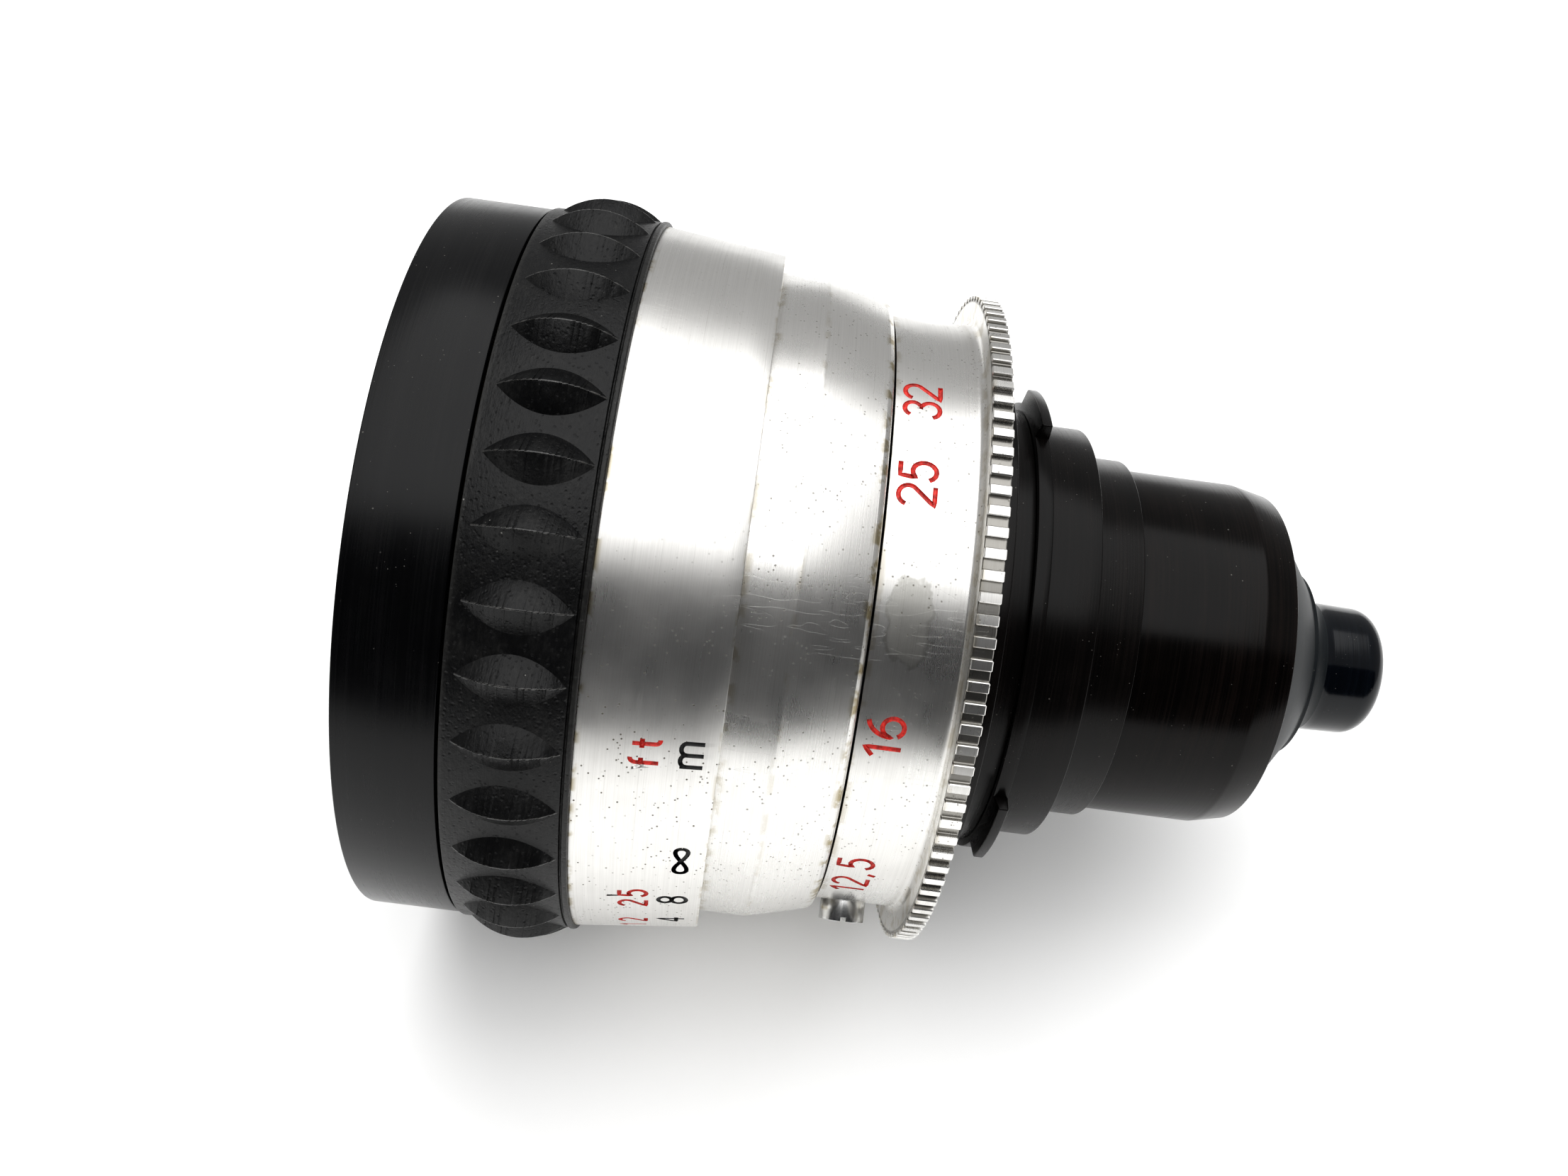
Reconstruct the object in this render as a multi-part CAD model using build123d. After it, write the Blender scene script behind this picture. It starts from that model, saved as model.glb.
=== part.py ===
from build123d import *
import os
from math import cos, radians, sin, sqrt

# Wide-angle cine prime lens, millimetres.
# The optical axis is Y: the front glass looks along -Y and the rear of the lens points along +Y.
# The origin is on the axis, in the plane of the flange that seats against the camera. +Z is up.
# "Clock" angles go round the axis from +X towards +Z, in degrees.

# ---- clearances ----
FIT = 0.05          # between pieces screwed or pressed together, on the radius
RUN = 0.10          # between a turning ring and the barrel that carries it, on the radius
SLIDE = 0.08        # between the sliding front carriage and its guide, on the radius
END_PLAY = 0.15     # beside a turning rib, along the axis

# ---- lengths along the axis, from the flange seat forwards ----
flange_thick = 2.2
ring_gap = 0.22         # flange to the toothed ring
gear_width = 2.14
ring_width = 9.24       # plain part of the aperture ring
barrel_gap = 0.30       # aperture ring to the fixed barrel
taper_length = 7.25     # conical part of the fixed barrel
straight_length = 5.29  # cylindrical part of the fixed barrel that shows
scale_width = 13.55
grip_width = 12.46
seam = 0.35             # grip ring to hood, at the middle of the focus travel
hood_length = 9.85

# ---- lengths along the axis, from the flange seat backwards ----
neck_length = 2.9
lug_thick = 1.6
step_one_length = 5.9
step_two_length = 5.5
sleeve_length = 13.8
sleeve_chamfer = 3.7
cone_length = 5.6
cone_land = 0.5         # narrow land behind the cone
nub_length = 4.1        # straight part of the nub
nub_round = 2.7

# ---- outer radii ----
hood_r = 41.2
grip_r = 41.45
scale_front_r = 41.05
scale_rear_r = 39.66
barrel_r = 37.77
barrel_rear_r = 36.0
ring_r = 34.68
gear_r = 38.2
flange_r = 30.0
neck_r = 25.9
lug_ring_r = 26.8
lug_r = 28.45
step_one_r = 24.55
step_two_r = 21.5
sleeve_r = 20.5
sleeve_rear_r = 19.7
cone_front_r = 18.6
cone_rear_r = 11.3
nub_r = 7.75
nub_end_r = 4.9

# ---- pattern sizes ----
lobe_count = 38
lobe_first = 1.7        # clock angle of one lobe
lobe_length = 10.4
lobe_width = 4.8
lobe_height = 1.8
lobe_ridge = 0.12       # how far the sharp roof is turned down
tooth_count = 113
tooth_depth = 0.55
tooth_share = 0.5       # share of the pitch that is land
tooth_clock = 61.7      # clock angle of the middle of one land
lug_count = 3
lug_first = 109.5
lug_sweep = 26.0
lug_ramp = 0.5
knob_clock = -35.0
knob_r = 2.6
knob_top_r = 37.0

# ---- travel ----
aperture_open = -70.0   # turn of the aperture ring from rest, about +Y
aperture_shut = 133.6
slot_spare = 4.0

# ---- inner radii and walls ----
helix_r = 36.3          # thread between focus ring and carriage
guide_r = 33.0          # sliding part of the carriage
carriage_bore = 30.5
front_bore = 33.4
core_r = 29.4           # tube that carries the aperture ring
core_bore = 26.4
spigot_r = 35.3         # front end of the fixed barrel, inside the focus ring
spigot_length = 4.4
rib_width = 1.5         # rib of the scale ring trapped on the spigot
cover_length = 7.6      # how far the scale ring covers the fixed barrel
mount_bore = 23.0
rear_bore = 19.0
sleeve_bore = 17.5

# ---- lens cells ----
seat_width = 1.2        # how far a shoulder or ring reaches in over a glass
cell_wall = 1.6

# ---- iris ----
blade_count = 6
blade_thick = 0.22
blade_pitch = 0.45
iris_open_r = 9.5
blade_inner_r = 10.0
blade_outer_r = 18.6
blade_head_r = 23.4
pivot_ring_r = 20.5
pivot_pin_r = 0.6
blade_sweep = 88.0
head_sweep = 22.0
cam_thick = 2.2
iris_plate = 1.4
blade_turn_rest = 8.2   # how far the blades have closed at rest
drive_screw_r = 0.9


# ---- stations along Y ----
flange_front = -flange_thick
gear_rear = flange_front - ring_gap
gear_front = gear_rear - gear_width
ring_front = gear_front - ring_width
barrel_rear = ring_front - barrel_gap
knee = barrel_rear - taper_length
scale_rear = knee - straight_length
scale_front = scale_rear - scale_width
grip_front = scale_front - grip_width
hood_rear = grip_front - seam
hood_front = hood_rear - hood_length

neck_rear = neck_length
lug_rear = neck_rear + lug_thick
step_one_rear = lug_rear + step_one_length
step_two_rear = step_one_rear + step_two_length
sleeve_straight = step_two_rear + sleeve_length
sleeve_rear = sleeve_straight + sleeve_chamfer
cone_rear = sleeve_rear + cone_length
nub_start = cone_rear + cone_land + cone_rear_r - nub_r
nub_straight = nub_start + nub_length
nub_end = nub_straight + nub_round

barrel_shoulder = scale_rear - cover_length
rib_front = barrel_shoulder - END_PLAY - rib_width
retainer_rear = rib_front - END_PLAY
spigot_front = barrel_shoulder - spigot_length
scale_bore = barrel_r + RUN
nut_r = grip_r - 2.4
nut_front = grip_front + 1.05
nut_rear = spigot_front - 0.3


def turned(*outline):
    """Solid of revolution about the optical axis, from (radius, y) points."""
    edge = Polyline(*outline, close=True)
    return revolve(make_face(edge), Axis.Y)


def ring(inner, outer, front, rear):
    """Plain ring between two stations."""
    return turned((inner, front), (outer, front), (outer, rear), (inner, rear))


def across(y):
    """Drawing plane square to the axis; its x is +X, its y is -Z, and it extrudes rearwards."""
    return Plane(origin=(0, y, 0), x_dir=(1, 0, 0), z_dir=(0, 1, 0))


def clocked(shape, clock):
    """Turn a shape made at clock 0 to another clock angle."""
    return Rot(0, -clock, 0) * shape


def sag(radius, height):
    """Depth of a spherical surface at a height from the axis, positive when its centre is behind it."""
    depth = abs(radius) - sqrt(radius ** 2 - height ** 2)
    return depth if radius > 0 else -depth


def glass(front, thick, half, front_radius, rear_radius):
    """Lens element with its front vertex at a station, half its diameter, and two spherical faces."""
    rear = front + thick
    f_mid = (half / 2, front + sag(front_radius, half / 2))
    r_mid = (half / 2, rear + sag(rear_radius, half / 2))
    f_rim = (half, front + sag(front_radius, half))
    r_rim = (half, rear + sag(rear_radius, half))
    edges = [
        ThreePointArc((0, front), f_mid, f_rim),
        Line(f_rim, r_rim),
        ThreePointArc(r_rim, r_mid, (0, rear)),
        Line((0, rear), (0, front)),
    ]
    return revolve(make_face(edges), Axis.Y)


def shoulder_behind(vertex, radius, half):
    """Station of a flat shoulder that touches the rear face of a glass."""
    return vertex + sag(radius, half if radius > 0 else half - seat_width)


def ring_before(vertex, radius, half):
    """Station where a ring touches the front face of a glass."""
    return vertex + sag(radius, half - seat_width if radius > 0 else half)


def radial_pin(radius, inner, outer, y, clock):
    """Round pin that points away from the axis."""
    pin = Plane(origin=(inner, y, 0), x_dir=(0, 1, 0), z_dir=(1, 0, 0)) * extrude(Circle(radius), outer - inner)
    return clocked(pin, clock)


def sector(reach, front, rear, start, end):
    """Pie-shaped block between two stations and two clock angles, wider than the reach."""
    corners = [(0, 0)]
    for i in range(9):
        angle = radians(start + (end - start) * i / 8)
        corners.append((2 * reach * cos(angle), -2 * reach * sin(angle)))
    return across(front) * extrude(make_face(Polyline(*corners, close=True)), rear - front)


parts = {}

# ---- hood and front carriage: slides along the axis, never turns ----
cell_flange = 1.5
cell_depth = 3.0        # how far the carriage reaches forwards into the hood
hood_lip = 0.9          # wall of the hood at its front edge
thread_pitch = 1.8
thread_depth = 0.35
key_r = 1.4
key_slot_length = 6.0
key_clock = 180.0
glass_one_recess = 4.6  # from the front edge of the hood to the glass
glass_one_thick = 2.6
glass_one_front_radius = 90.0
glass_one_rear_radius = 52.0
glass_two_recess = 17.2
glass_two_thick = 2.2
glass_two_half = 22.0
glass_two_front_radius = 60.0
glass_two_rear_radius = 30.0
glass_three_thick = 5.0
glass_three_half = 13.0
glass_three_front_radius = 34.0
glass_three_rear_radius = -60.0

cell_seat = hood_rear - cell_depth
cell_front = cell_seat - cell_flange
hood_bore = helix_r + 0.9
carriage_step = spigot_front - 1.1
front_bore_rear = carriage_step - 1.8
cell_rear = front_bore_rear - 1.0
guide_rear = knee - 2.0
glass_one_y = hood_front + glass_one_recess
glass_one_half = front_bore - FIT - cell_wall
glass_one_seat = shoulder_behind(glass_one_y + glass_one_thick, glass_one_rear_radius, glass_one_half)
glass_one_hold = ring_before(glass_one_y, glass_one_front_radius, glass_one_half)

parts["hood"] = turned(
    (hood_r - hood_lip, hood_front),
    (hood_r - 0.25, hood_front),
    (hood_r, hood_front + 0.25),
    (hood_r, hood_rear - 0.2),
    (hood_r - 0.2, hood_rear),
    (helix_r + FIT, hood_rear),
    (helix_r + FIT, cell_seat),
    (hood_bore, cell_seat),
    (hood_bore, cell_front),
)

carriage = turned(
    (front_bore, cell_seat),
    (helix_r, cell_seat),
    (helix_r, carriage_step),
    (guide_r, carriage_step),
    (guide_r, guide_rear),
    (carriage_bore, guide_rear),
    (carriage_bore, front_bore_rear),
    (front_bore, front_bore_rear),
)
thread_count = int((carriage_step - hood_rear) / thread_pitch) - 2
for i in range(thread_count):
    groove = hood_rear + thread_pitch * (i + 1.25)
    carriage -= ring(helix_r - thread_depth, helix_r + 1, groove, groove + thread_pitch / 2)
key_y = barrel_shoulder + cover_length / 2
key_slot = Pos(guide_r, key_y, 0) * Box(8, key_slot_length, 2 * (key_r + RUN))
carriage -= clocked(key_slot, key_clock)
parts["front_carriage"] = carriage

parts["front_cell"] = turned(
    (glass_one_half + FIT, cell_front),
    (hood_bore - FIT, cell_front),
    (hood_bore - FIT, cell_seat),
    (front_bore - FIT, cell_seat),
    (front_bore - FIT, cell_rear),
    (glass_one_half - seat_width, cell_rear),
    (glass_one_half - seat_width, glass_one_seat),
    (glass_one_half + FIT, glass_one_seat),
)
parts["front_glass"] = glass(
    glass_one_y, glass_one_thick, glass_one_half, glass_one_front_radius, glass_one_rear_radius
)
front_retainer = turned(
    (glass_one_half - seat_width, cell_front + 0.6),
    (glass_one_half, cell_front),
    (glass_one_half, glass_one_hold),
    (glass_one_half - seat_width, glass_one_hold),
)
for side in (0, 180):
    notch = Pos(glass_one_half, cell_front, 0) * Box(4 * seat_width, 1.6, 2.0)
    front_retainer -= clocked(notch, side)
parts["front_retaining_ring"] = front_retainer

glass_two_y = hood_front + glass_two_recess
glass_two_seat = shoulder_behind(glass_two_y + glass_two_thick, glass_two_rear_radius, glass_two_half)
glass_two_hold = ring_before(glass_two_y, glass_two_front_radius, glass_two_half)
nose_front = glass_two_hold - 1.5
glass_three_y = glass_two_seat + 1.0
glass_three_seat = shoulder_behind(
    glass_three_y + glass_three_thick, glass_three_rear_radius, glass_three_half
)
inner_cell_rear = glass_three_seat + 1.5
parts["inner_front_cell"] = turned(
    (glass_two_half + FIT, nose_front),
    (glass_two_half + cell_wall, nose_front),
    (glass_two_half + cell_wall, cell_rear),
    (front_bore - FIT, cell_rear),
    (front_bore - FIT, front_bore_rear),
    (carriage_bore - FIT, front_bore_rear),
    (carriage_bore - FIT, inner_cell_rear),
    (glass_three_half - seat_width, inner_cell_rear),
    (glass_three_half - seat_width, glass_three_seat),
    (glass_three_half + FIT, glass_three_seat),
    (glass_three_half + FIT, glass_three_y - 0.4),
    (glass_two_half - seat_width, glass_two_seat),
    (glass_two_half + FIT, glass_two_seat),
)
parts["second_glass"] = glass(
    glass_two_y, glass_two_thick, glass_two_half, glass_two_front_radius, glass_two_rear_radius
)
parts["second_retaining_ring"] = ring(glass_two_half - seat_width, glass_two_half, nose_front, glass_two_hold)
parts["third_glass"] = glass(
    glass_three_y, glass_three_thick, glass_three_half, glass_three_front_radius, glass_three_rear_radius
)

# ---- focus ring: turns, held on the front spigot of the fixed barrel ----
screw_r = 0.7
screw_length = 4.0
screw_count = 3
screw_clock = 30.0
grip_inner_r = helix_r + 0.6

grip = turned(
    (grip_inner_r, grip_front),
    (grip_r - 0.2, grip_front),
    (grip_r, grip_front + 0.2),
    (grip_r, scale_front - 0.15),
    (grip_r - 0.15, scale_front),
    (nut_r + FIT, scale_front),
    (nut_r + FIT, nut_front),
    (grip_inner_r, nut_front),
)
roof_half = lobe_width / 2
roof_height = lobe_height + lobe_ridge
roof_slope = sqrt(roof_half ** 2 + roof_height ** 2)
roof_rise = roof_half * roof_height / roof_slope
lobe_y = grip_front + grip_width / 2
roof_outline = [
    ThreePointArc((-lobe_length / 2, 0), (0, roof_rise), (lobe_length / 2, 0)),
    Line((lobe_length / 2, 0), (lobe_length / 2, -1)),
    Line((lobe_length / 2, -1), (-lobe_length / 2, -1)),
    Line((-lobe_length / 2, -1), (-lobe_length / 2, 0)),
]
roof_face = make_face(roof_outline)
roof_one = Plane(origin=(grip_r, lobe_y, 0), x_dir=(0, 1, 0), z_dir=(roof_height, 0, -roof_half))
roof_two = Plane(origin=(grip_r, lobe_y, 0), x_dir=(0, 1, 0), z_dir=(-roof_height, 0, -roof_half))
lobe = extrude(roof_one * roof_face, 5, both=True) & extrude(roof_two * roof_face, 5, both=True)
turned_down = make_face([
    ThreePointArc(
        (grip_r, lobe_y - lobe_length / 2), (grip_r + lobe_height, lobe_y), (grip_r, lobe_y + lobe_length / 2)
    ),
    Line((grip_r, lobe_y + lobe_length / 2), (grip_r - 2, lobe_y + lobe_length / 2)),
    Line((grip_r - 2, lobe_y + lobe_length / 2), (grip_r - 2, lobe_y - lobe_length / 2)),
    Line((grip_r - 2, lobe_y - lobe_length / 2), (grip_r, lobe_y - lobe_length / 2)),
])
lobe = lobe & revolve(turned_down, Axis.Y)
grip = grip + [clocked(lobe, lobe_first + 360 * i / lobe_count) for i in range(lobe_count)]

nut_bore = helix_r + RUN
nut = ring(nut_bore, nut_r, nut_front, nut_rear)
screw_at = (nut_bore + nut_r) / 2
screws = []
for i in range(screw_count):
    clock = screw_clock + 360 * i / screw_count
    hole = clocked(Pos(screw_at, 0, 0) * across(grip_front - 1) * extrude(
        Circle(screw_r + FIT), screw_length + 1.1), clock)
    grip -= hole
    nut -= hole
    screw = across(grip_front) * extrude(Circle(screw_r), screw_length)
    screw -= Pos(0, grip_front, 0) * Box(3 * screw_r, 0.8, 0.35)
    screws.append(clocked(Pos(screw_at, 0, 0) * screw, clock))
parts["grip_ring"] = grip
parts["focus_nut"] = nut
parts["focus_screws"] = Compound(children=screws)

parts["scale_ring"] = turned(
    (nut_r + FIT, scale_front),
    (scale_front_r, scale_front),
    (scale_rear_r, scale_rear),
    (scale_bore, scale_rear),
    (scale_bore, barrel_shoulder - END_PLAY),
    (spigot_r + RUN, barrel_shoulder - END_PLAY),
    (spigot_r + RUN, rib_front),
    (scale_bore, rib_front),
    (scale_bore, nut_rear),
    (nut_r + FIT, nut_rear),
)

# ---- fixed barrel and the tube that carries the aperture ring ----
retainer_r = spigot_r + 1.9
web_front = knee + 0.35
web_rear = web_front + 2.0
core_flange_r = 34.55
core_step_r = 25.2      # shoulder the iris base seats on
iris_front = barrel_rear + 0.1

barrel = turned(
    (guide_r + SLIDE, spigot_front),
    (spigot_r, spigot_front),
    (spigot_r, barrel_shoulder),
    (barrel_r, barrel_shoulder),
    (barrel_r, knee),
    (barrel_rear_r + 0.1, barrel_rear - 0.5),
    (barrel_rear_r - 0.2, barrel_rear - 0.1),
    (barrel_rear_r - 0.5, barrel_rear),
    (core_flange_r + FIT, barrel_rear),
    (core_flange_r + FIT, web_rear),
    (core_r + FIT, web_rear),
    (core_r + FIT, web_front),
    (guide_r + SLIDE, web_front),
)
barrel -= radial_pin(key_r + FIT, guide_r - 1, barrel_r + 1, key_y, key_clock)
parts["fixed_barrel"] = barrel
parts["key_screw"] = radial_pin(key_r, carriage_bore + 0.6, barrel_r - 0.2, key_y, key_clock)
parts["focus_retainer"] = ring(spigot_r + FIT, retainer_r, spigot_front, retainer_rear)

iris_rear = iris_front + iris_plate
stack_front = iris_rear + 0.12
cam_front = stack_front + blade_count * blade_pitch + 0.1
cam_rear = cam_front + cam_thick
drive_y = (cam_front + cam_rear) / 2
drive_clock = 145.0
core = turned(
    (core_step_r, web_front),
    (core_r, web_front),
    (core_r, web_rear),
    (core_flange_r, web_rear),
    (core_flange_r, barrel_rear),
    (core_r, barrel_rear),
    (core_r, flange_front),
    (core_bore, flange_front),
    (core_bore, iris_front),
    (core_step_r, iris_front),
)
slot_half = drive_screw_r + 0.4
slot = ring(core_bore - 1, core_r + 1, drive_y - slot_half, drive_y + slot_half)
slot_start = drive_clock - aperture_shut - slot_spare
slot_end = drive_clock - aperture_open + slot_spare
core -= slot & sector(core_r, drive_y - 2, drive_y + 2, slot_start, slot_end)
parts["core_tube"] = core

# ---- iris ----
pivot_depth = 1.0
blade_link_r = 0.5
link_clock = -6.0
base = ring(iris_open_r, core_bore - FIT, iris_front, iris_rear)
for i in range(blade_count):
    pivot_hole = across(iris_rear - pivot_depth - 0.1) * extrude(Circle(pivot_pin_r + RUN), 2)
    base -= clocked(Pos(pivot_ring_r, 0, 0) * pivot_hole, 360 * i / blade_count)
parts["iris_base"] = base

for i in range(blade_count):
    front = stack_front + blade_pitch * i
    rear = front + blade_thick
    leaf = ring(blade_inner_r, blade_outer_r, front, rear)
    leaf = leaf & sector(blade_outer_r, front - 1, rear + 1, head_sweep / 2 - blade_sweep, head_sweep / 2)
    tab = ring(blade_outer_r - 1, blade_head_r, front, rear)
    tab = tab & sector(blade_head_r, front - 1, rear + 1, -head_sweep / 2, head_sweep / 2)
    blade = leaf + tab
    pin = across(iris_rear - pivot_depth) * extrude(Circle(pivot_pin_r), rear - iris_rear + pivot_depth)
    blade += Pos(pivot_ring_r, 0, 0) * pin
    link = across(front) * extrude(Circle(blade_link_r), cam_front - 0.35 - front)
    blade += clocked(Pos(pivot_ring_r + 1, 0, 0) * link, link_clock)
    turn = Pos(pivot_ring_r, 0, 0) * Rot(0, blade_turn_rest, 0) * Pos(-pivot_ring_r, 0, 0)
    parts[f"blade_{i + 1}"] = clocked(turn * blade, 360 * i / blade_count)

cam_inner_r = iris_open_r + 2.0
cam = ring(cam_inner_r, core_bore - RUN, cam_front, cam_rear)
for i in range(blade_count):
    groove = ring(pivot_ring_r, pivot_ring_r + 2, cam_front - 1, cam_rear + 1)
    groove = groove & sector(core_bore, cam_front - 1, cam_rear + 1, -18, 18)
    cam -= clocked(groove, drive_clock + 360 * (i + 0.5) / blade_count)
cam -= radial_pin(drive_screw_r + FIT, core_bore - 3, core_bore + 1, drive_y, drive_clock)
parts["iris_cam_ring"] = cam
cover_front = cam_rear + END_PLAY
cover_rear = cover_front + 1.4
parts["iris_cover"] = ring(core_bore - 2.4, core_bore - FIT, cover_front, cover_rear)

# ---- aperture ring ----
fillet = 0.8            # hollow corner between the plain part and the toothed flange
ring_bore = core_r + RUN
profile = [(ring_bore, ring_front), (ring_r - 0.15, ring_front), (ring_r, ring_front + 0.15)]
for i in range(5):
    angle = radians(22.5 * i)
    profile.append((ring_r + fillet - fillet * cos(angle), gear_front - fillet + fillet * sin(angle)))
profile += [(ring_r + fillet, gear_rear), (ring_bore, gear_rear)]
aperture = turned(*profile)
tooth_points = []
for i in range(tooth_count):
    for share, radius in ((0.0, gear_r - tooth_depth), (0.08, gear_r), (tooth_share, gear_r),
                          (tooth_share + 0.08, gear_r - tooth_depth)):
        angle = radians(360 * (i + share - 0.29) / tooth_count + tooth_clock)
        tooth_points.append((radius * cos(angle), -radius * sin(angle)))
toothed = across(gear_front) * extrude(make_face(Polyline(*tooth_points, close=True)), gear_width)
aperture += toothed - ring(0, ring_r, gear_front - 1, gear_rear + 1)
aperture -= radial_pin(drive_screw_r + FIT, core_r, ring_r - 0.6, drive_y, drive_clock)
knob_y = ring_front + 3.6
knob_seat_r = ring_r - 1.6
knob_stem_r = 1.2
aperture -= radial_pin(knob_stem_r + FIT, knob_seat_r, ring_r + 3, knob_y, knob_clock)
aperture -= radial_pin(knob_r + FIT, ring_r - 0.5, ring_r + 3, knob_y, knob_clock)
parts["aperture_ring"] = aperture
knob = radial_pin(knob_r, ring_r - 0.5, knob_top_r - 0.3, knob_y, 0)
knob += radial_pin(knob_stem_r, knob_seat_r, knob_top_r - 1, knob_y, 0)
knob += radial_pin(knob_r - 0.3, knob_top_r - 1, knob_top_r, knob_y, 0)
knob -= Pos(knob_top_r, knob_y, 0) * Box(0.8, 0.6, 4 * knob_r)
parts["aperture_knob"] = clocked(knob, knob_clock)
parts["drive_screw"] = radial_pin(drive_screw_r, core_bore - 3 + FIT, ring_r - 0.7, drive_y, drive_clock)

# ---- mount and rear barrels ----
spigot_in = 2.8         # how far a rear piece enters the one in front of it
rear_spigot_in = 4.9
mount = turned(
    (mount_bore, flange_front - spigot_in),
    (core_bore - FIT, flange_front - spigot_in),
    (core_bore - FIT, flange_front),
    (flange_r, flange_front),
    (flange_r, 0),
    (neck_r, 0),
    (neck_r, neck_rear),
    (mount_bore + 1.3, neck_rear),
    (mount_bore + 1.3, lug_rear),
    (mount_bore, lug_rear),
)
parts["mount_flange"] = mount
lug_profile = turned(
    (mount_bore + 2, neck_rear),
    (lug_ring_r, neck_rear),
    (lug_r, neck_rear + lug_ramp),
    (lug_r, lug_rear - 0.2),
    (lug_r - 0.2, lug_rear),
    (mount_bore + 2, lug_rear),
)
lugs = ring(mount_bore + 1.3 + FIT, lug_ring_r, neck_rear, lug_rear)
for i in range(lug_count):
    start = lug_first + 360 * i / lug_count - lug_sweep / 2
    lugs += lug_profile & sector(lug_r, neck_rear - 1, lug_rear + 1, start, start + lug_sweep)
parts["lug_ring"] = lugs

parts["rear_barrel"] = turned(
    (rear_bore, lug_rear - spigot_in - 2),
    (mount_bore - FIT, lug_rear - spigot_in - 2),
    (mount_bore - FIT, lug_rear),
    (step_one_r, lug_rear),
    (step_one_r, step_one_rear - 0.15),
    (step_one_r - 0.15, step_one_rear),
    (step_two_r, step_one_rear),
    (step_two_r, step_two_rear - 0.15),
    (step_two_r - 0.15, step_two_rear),
    (rear_bore, step_two_rear),
)
parts["rear_sleeve"] = turned(
    (sleeve_bore, step_two_rear - rear_spigot_in),
    (rear_bore - FIT, step_two_rear - rear_spigot_in),
    (rear_bore - FIT, step_two_rear),
    (sleeve_r, step_two_rear),
    (sleeve_r, sleeve_straight),
    (sleeve_rear_r, sleeve_rear),
    (sleeve_bore, sleeve_rear),
)

# ---- lens elements behind the iris ----
glass_four_half = 12.0
glass_four_thick = 4.5
glass_four_front_radius = 40.0
glass_four_rear_radius = -45.0
glass_five_half = 11.0
glass_five_thick = 5.5
glass_five_front_radius = 30.0
glass_five_rear_radius = -24.0
glass_six_half = 9.0
glass_six_thick = 3.0
glass_six_front_radius = -26.0
glass_six_rear_radius = 60.0
rear_glass_half = 5.6
rear_glass_thick = 2.6
rear_glass_front_radius = 22.0
rear_glass_rear_radius = -30.0
rear_opening_r = 3.7
nub_bore_depth = 2.6    # from the end of the nub to the seat of the last glass

middle_front = cover_rear + 1.2
middle_rear = lug_rear - spigot_in - 2
glass_four_seat = middle_rear - 1.5
glass_four_y = glass_four_seat - glass_four_thick
glass_four_y -= shoulder_behind(0, glass_four_rear_radius, glass_four_half)
parts["middle_cell"] = turned(
    (glass_four_half + FIT, middle_front),
    (mount_bore - FIT, middle_front),
    (mount_bore - FIT, middle_rear),
    (glass_four_half - seat_width, middle_rear),
    (glass_four_half - seat_width, glass_four_seat),
    (glass_four_half + FIT, glass_four_seat),
)
parts["fourth_glass"] = glass(
    glass_four_y, glass_four_thick, glass_four_half, glass_four_front_radius, glass_four_rear_radius
)

tube_front = step_two_rear - rear_spigot_in
tube_rear = sleeve_rear - rear_spigot_in
glass_five_seat = tube_front + 7.5
glass_five_y = glass_five_seat - glass_five_thick
glass_five_y -= shoulder_behind(0, glass_five_rear_radius, glass_five_half)
five_hold = ring_before(glass_five_y, glass_five_front_radius, glass_five_half)
glass_six_seat = tube_rear - 6.0
glass_six_y = glass_six_seat - ring_before(0, glass_six_front_radius, glass_six_half)
six_hold = shoulder_behind(glass_six_y + glass_six_thick, glass_six_rear_radius, glass_six_half)
parts["rear_lens_tube"] = turned(
    (glass_five_half + FIT, tube_front),
    (sleeve_bore - FIT, tube_front),
    (sleeve_bore - FIT, tube_rear),
    (glass_six_half + FIT, tube_rear),
    (glass_six_half + FIT, glass_six_seat),
    (glass_six_half - seat_width, glass_six_seat),
    (glass_six_half - seat_width, glass_five_seat + 3),
    (glass_five_half - seat_width, glass_five_seat + 1.5),
    (glass_five_half - seat_width, glass_five_seat),
    (glass_five_half + FIT, glass_five_seat),
)
parts["fifth_glass"] = glass(
    glass_five_y, glass_five_thick, glass_five_half, glass_five_front_radius, glass_five_rear_radius
)
parts["fifth_retaining_ring"] = ring(glass_five_half - seat_width, glass_five_half, tube_front, five_hold)
parts["sixth_glass"] = glass(
    glass_six_y, glass_six_thick, glass_six_half, glass_six_front_radius, glass_six_rear_radius
)
parts["sixth_retaining_ring"] = ring(glass_six_half - seat_width, glass_six_half, six_hold, tube_rear)

rear_seat = nub_end - nub_bore_depth
cell_profile = [
    (rear_glass_half + FIT, tube_rear),
    (sleeve_bore - FIT, tube_rear),
    (sleeve_bore - FIT, sleeve_rear),
    (cone_front_r, sleeve_rear),
    (cone_rear_r, cone_rear),
    (cone_rear_r, cone_rear + cone_land),
]
curve = cone_rear_r - nub_r
for i in range(9):
    angle = radians(10 * (i + 1))
    cell_profile.append((
        cone_rear_r - curve * sin(angle),
        cone_rear + cone_land + curve - curve * cos(angle),
    ))
round_r = nub_r - nub_end_r
for i in range(7):
    angle = radians(15 * i)
    cell_profile.append((nub_end_r + round_r * cos(angle), nub_straight + nub_round * sin(angle)))
cell_profile += [
    (rear_opening_r + 0.4, nub_end),
    (rear_opening_r, nub_end - 0.4),
    (rear_opening_r, rear_seat),
    (rear_glass_half + FIT, rear_seat),
]
parts["rear_cell"] = turned(*cell_profile)
rear_glass_y = rear_seat - rear_glass_thick - sag(rear_glass_rear_radius, rear_opening_r)
rear_hold = ring_before(rear_glass_y, rear_glass_front_radius, rear_glass_half)
parts["rear_glass"] = glass(
    rear_glass_y, rear_glass_thick, rear_glass_half, rear_glass_front_radius, rear_glass_rear_radius
)
parts["rear_spacer"] = ring(rear_glass_half - seat_width, rear_glass_half, tube_rear, rear_hold)

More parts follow.
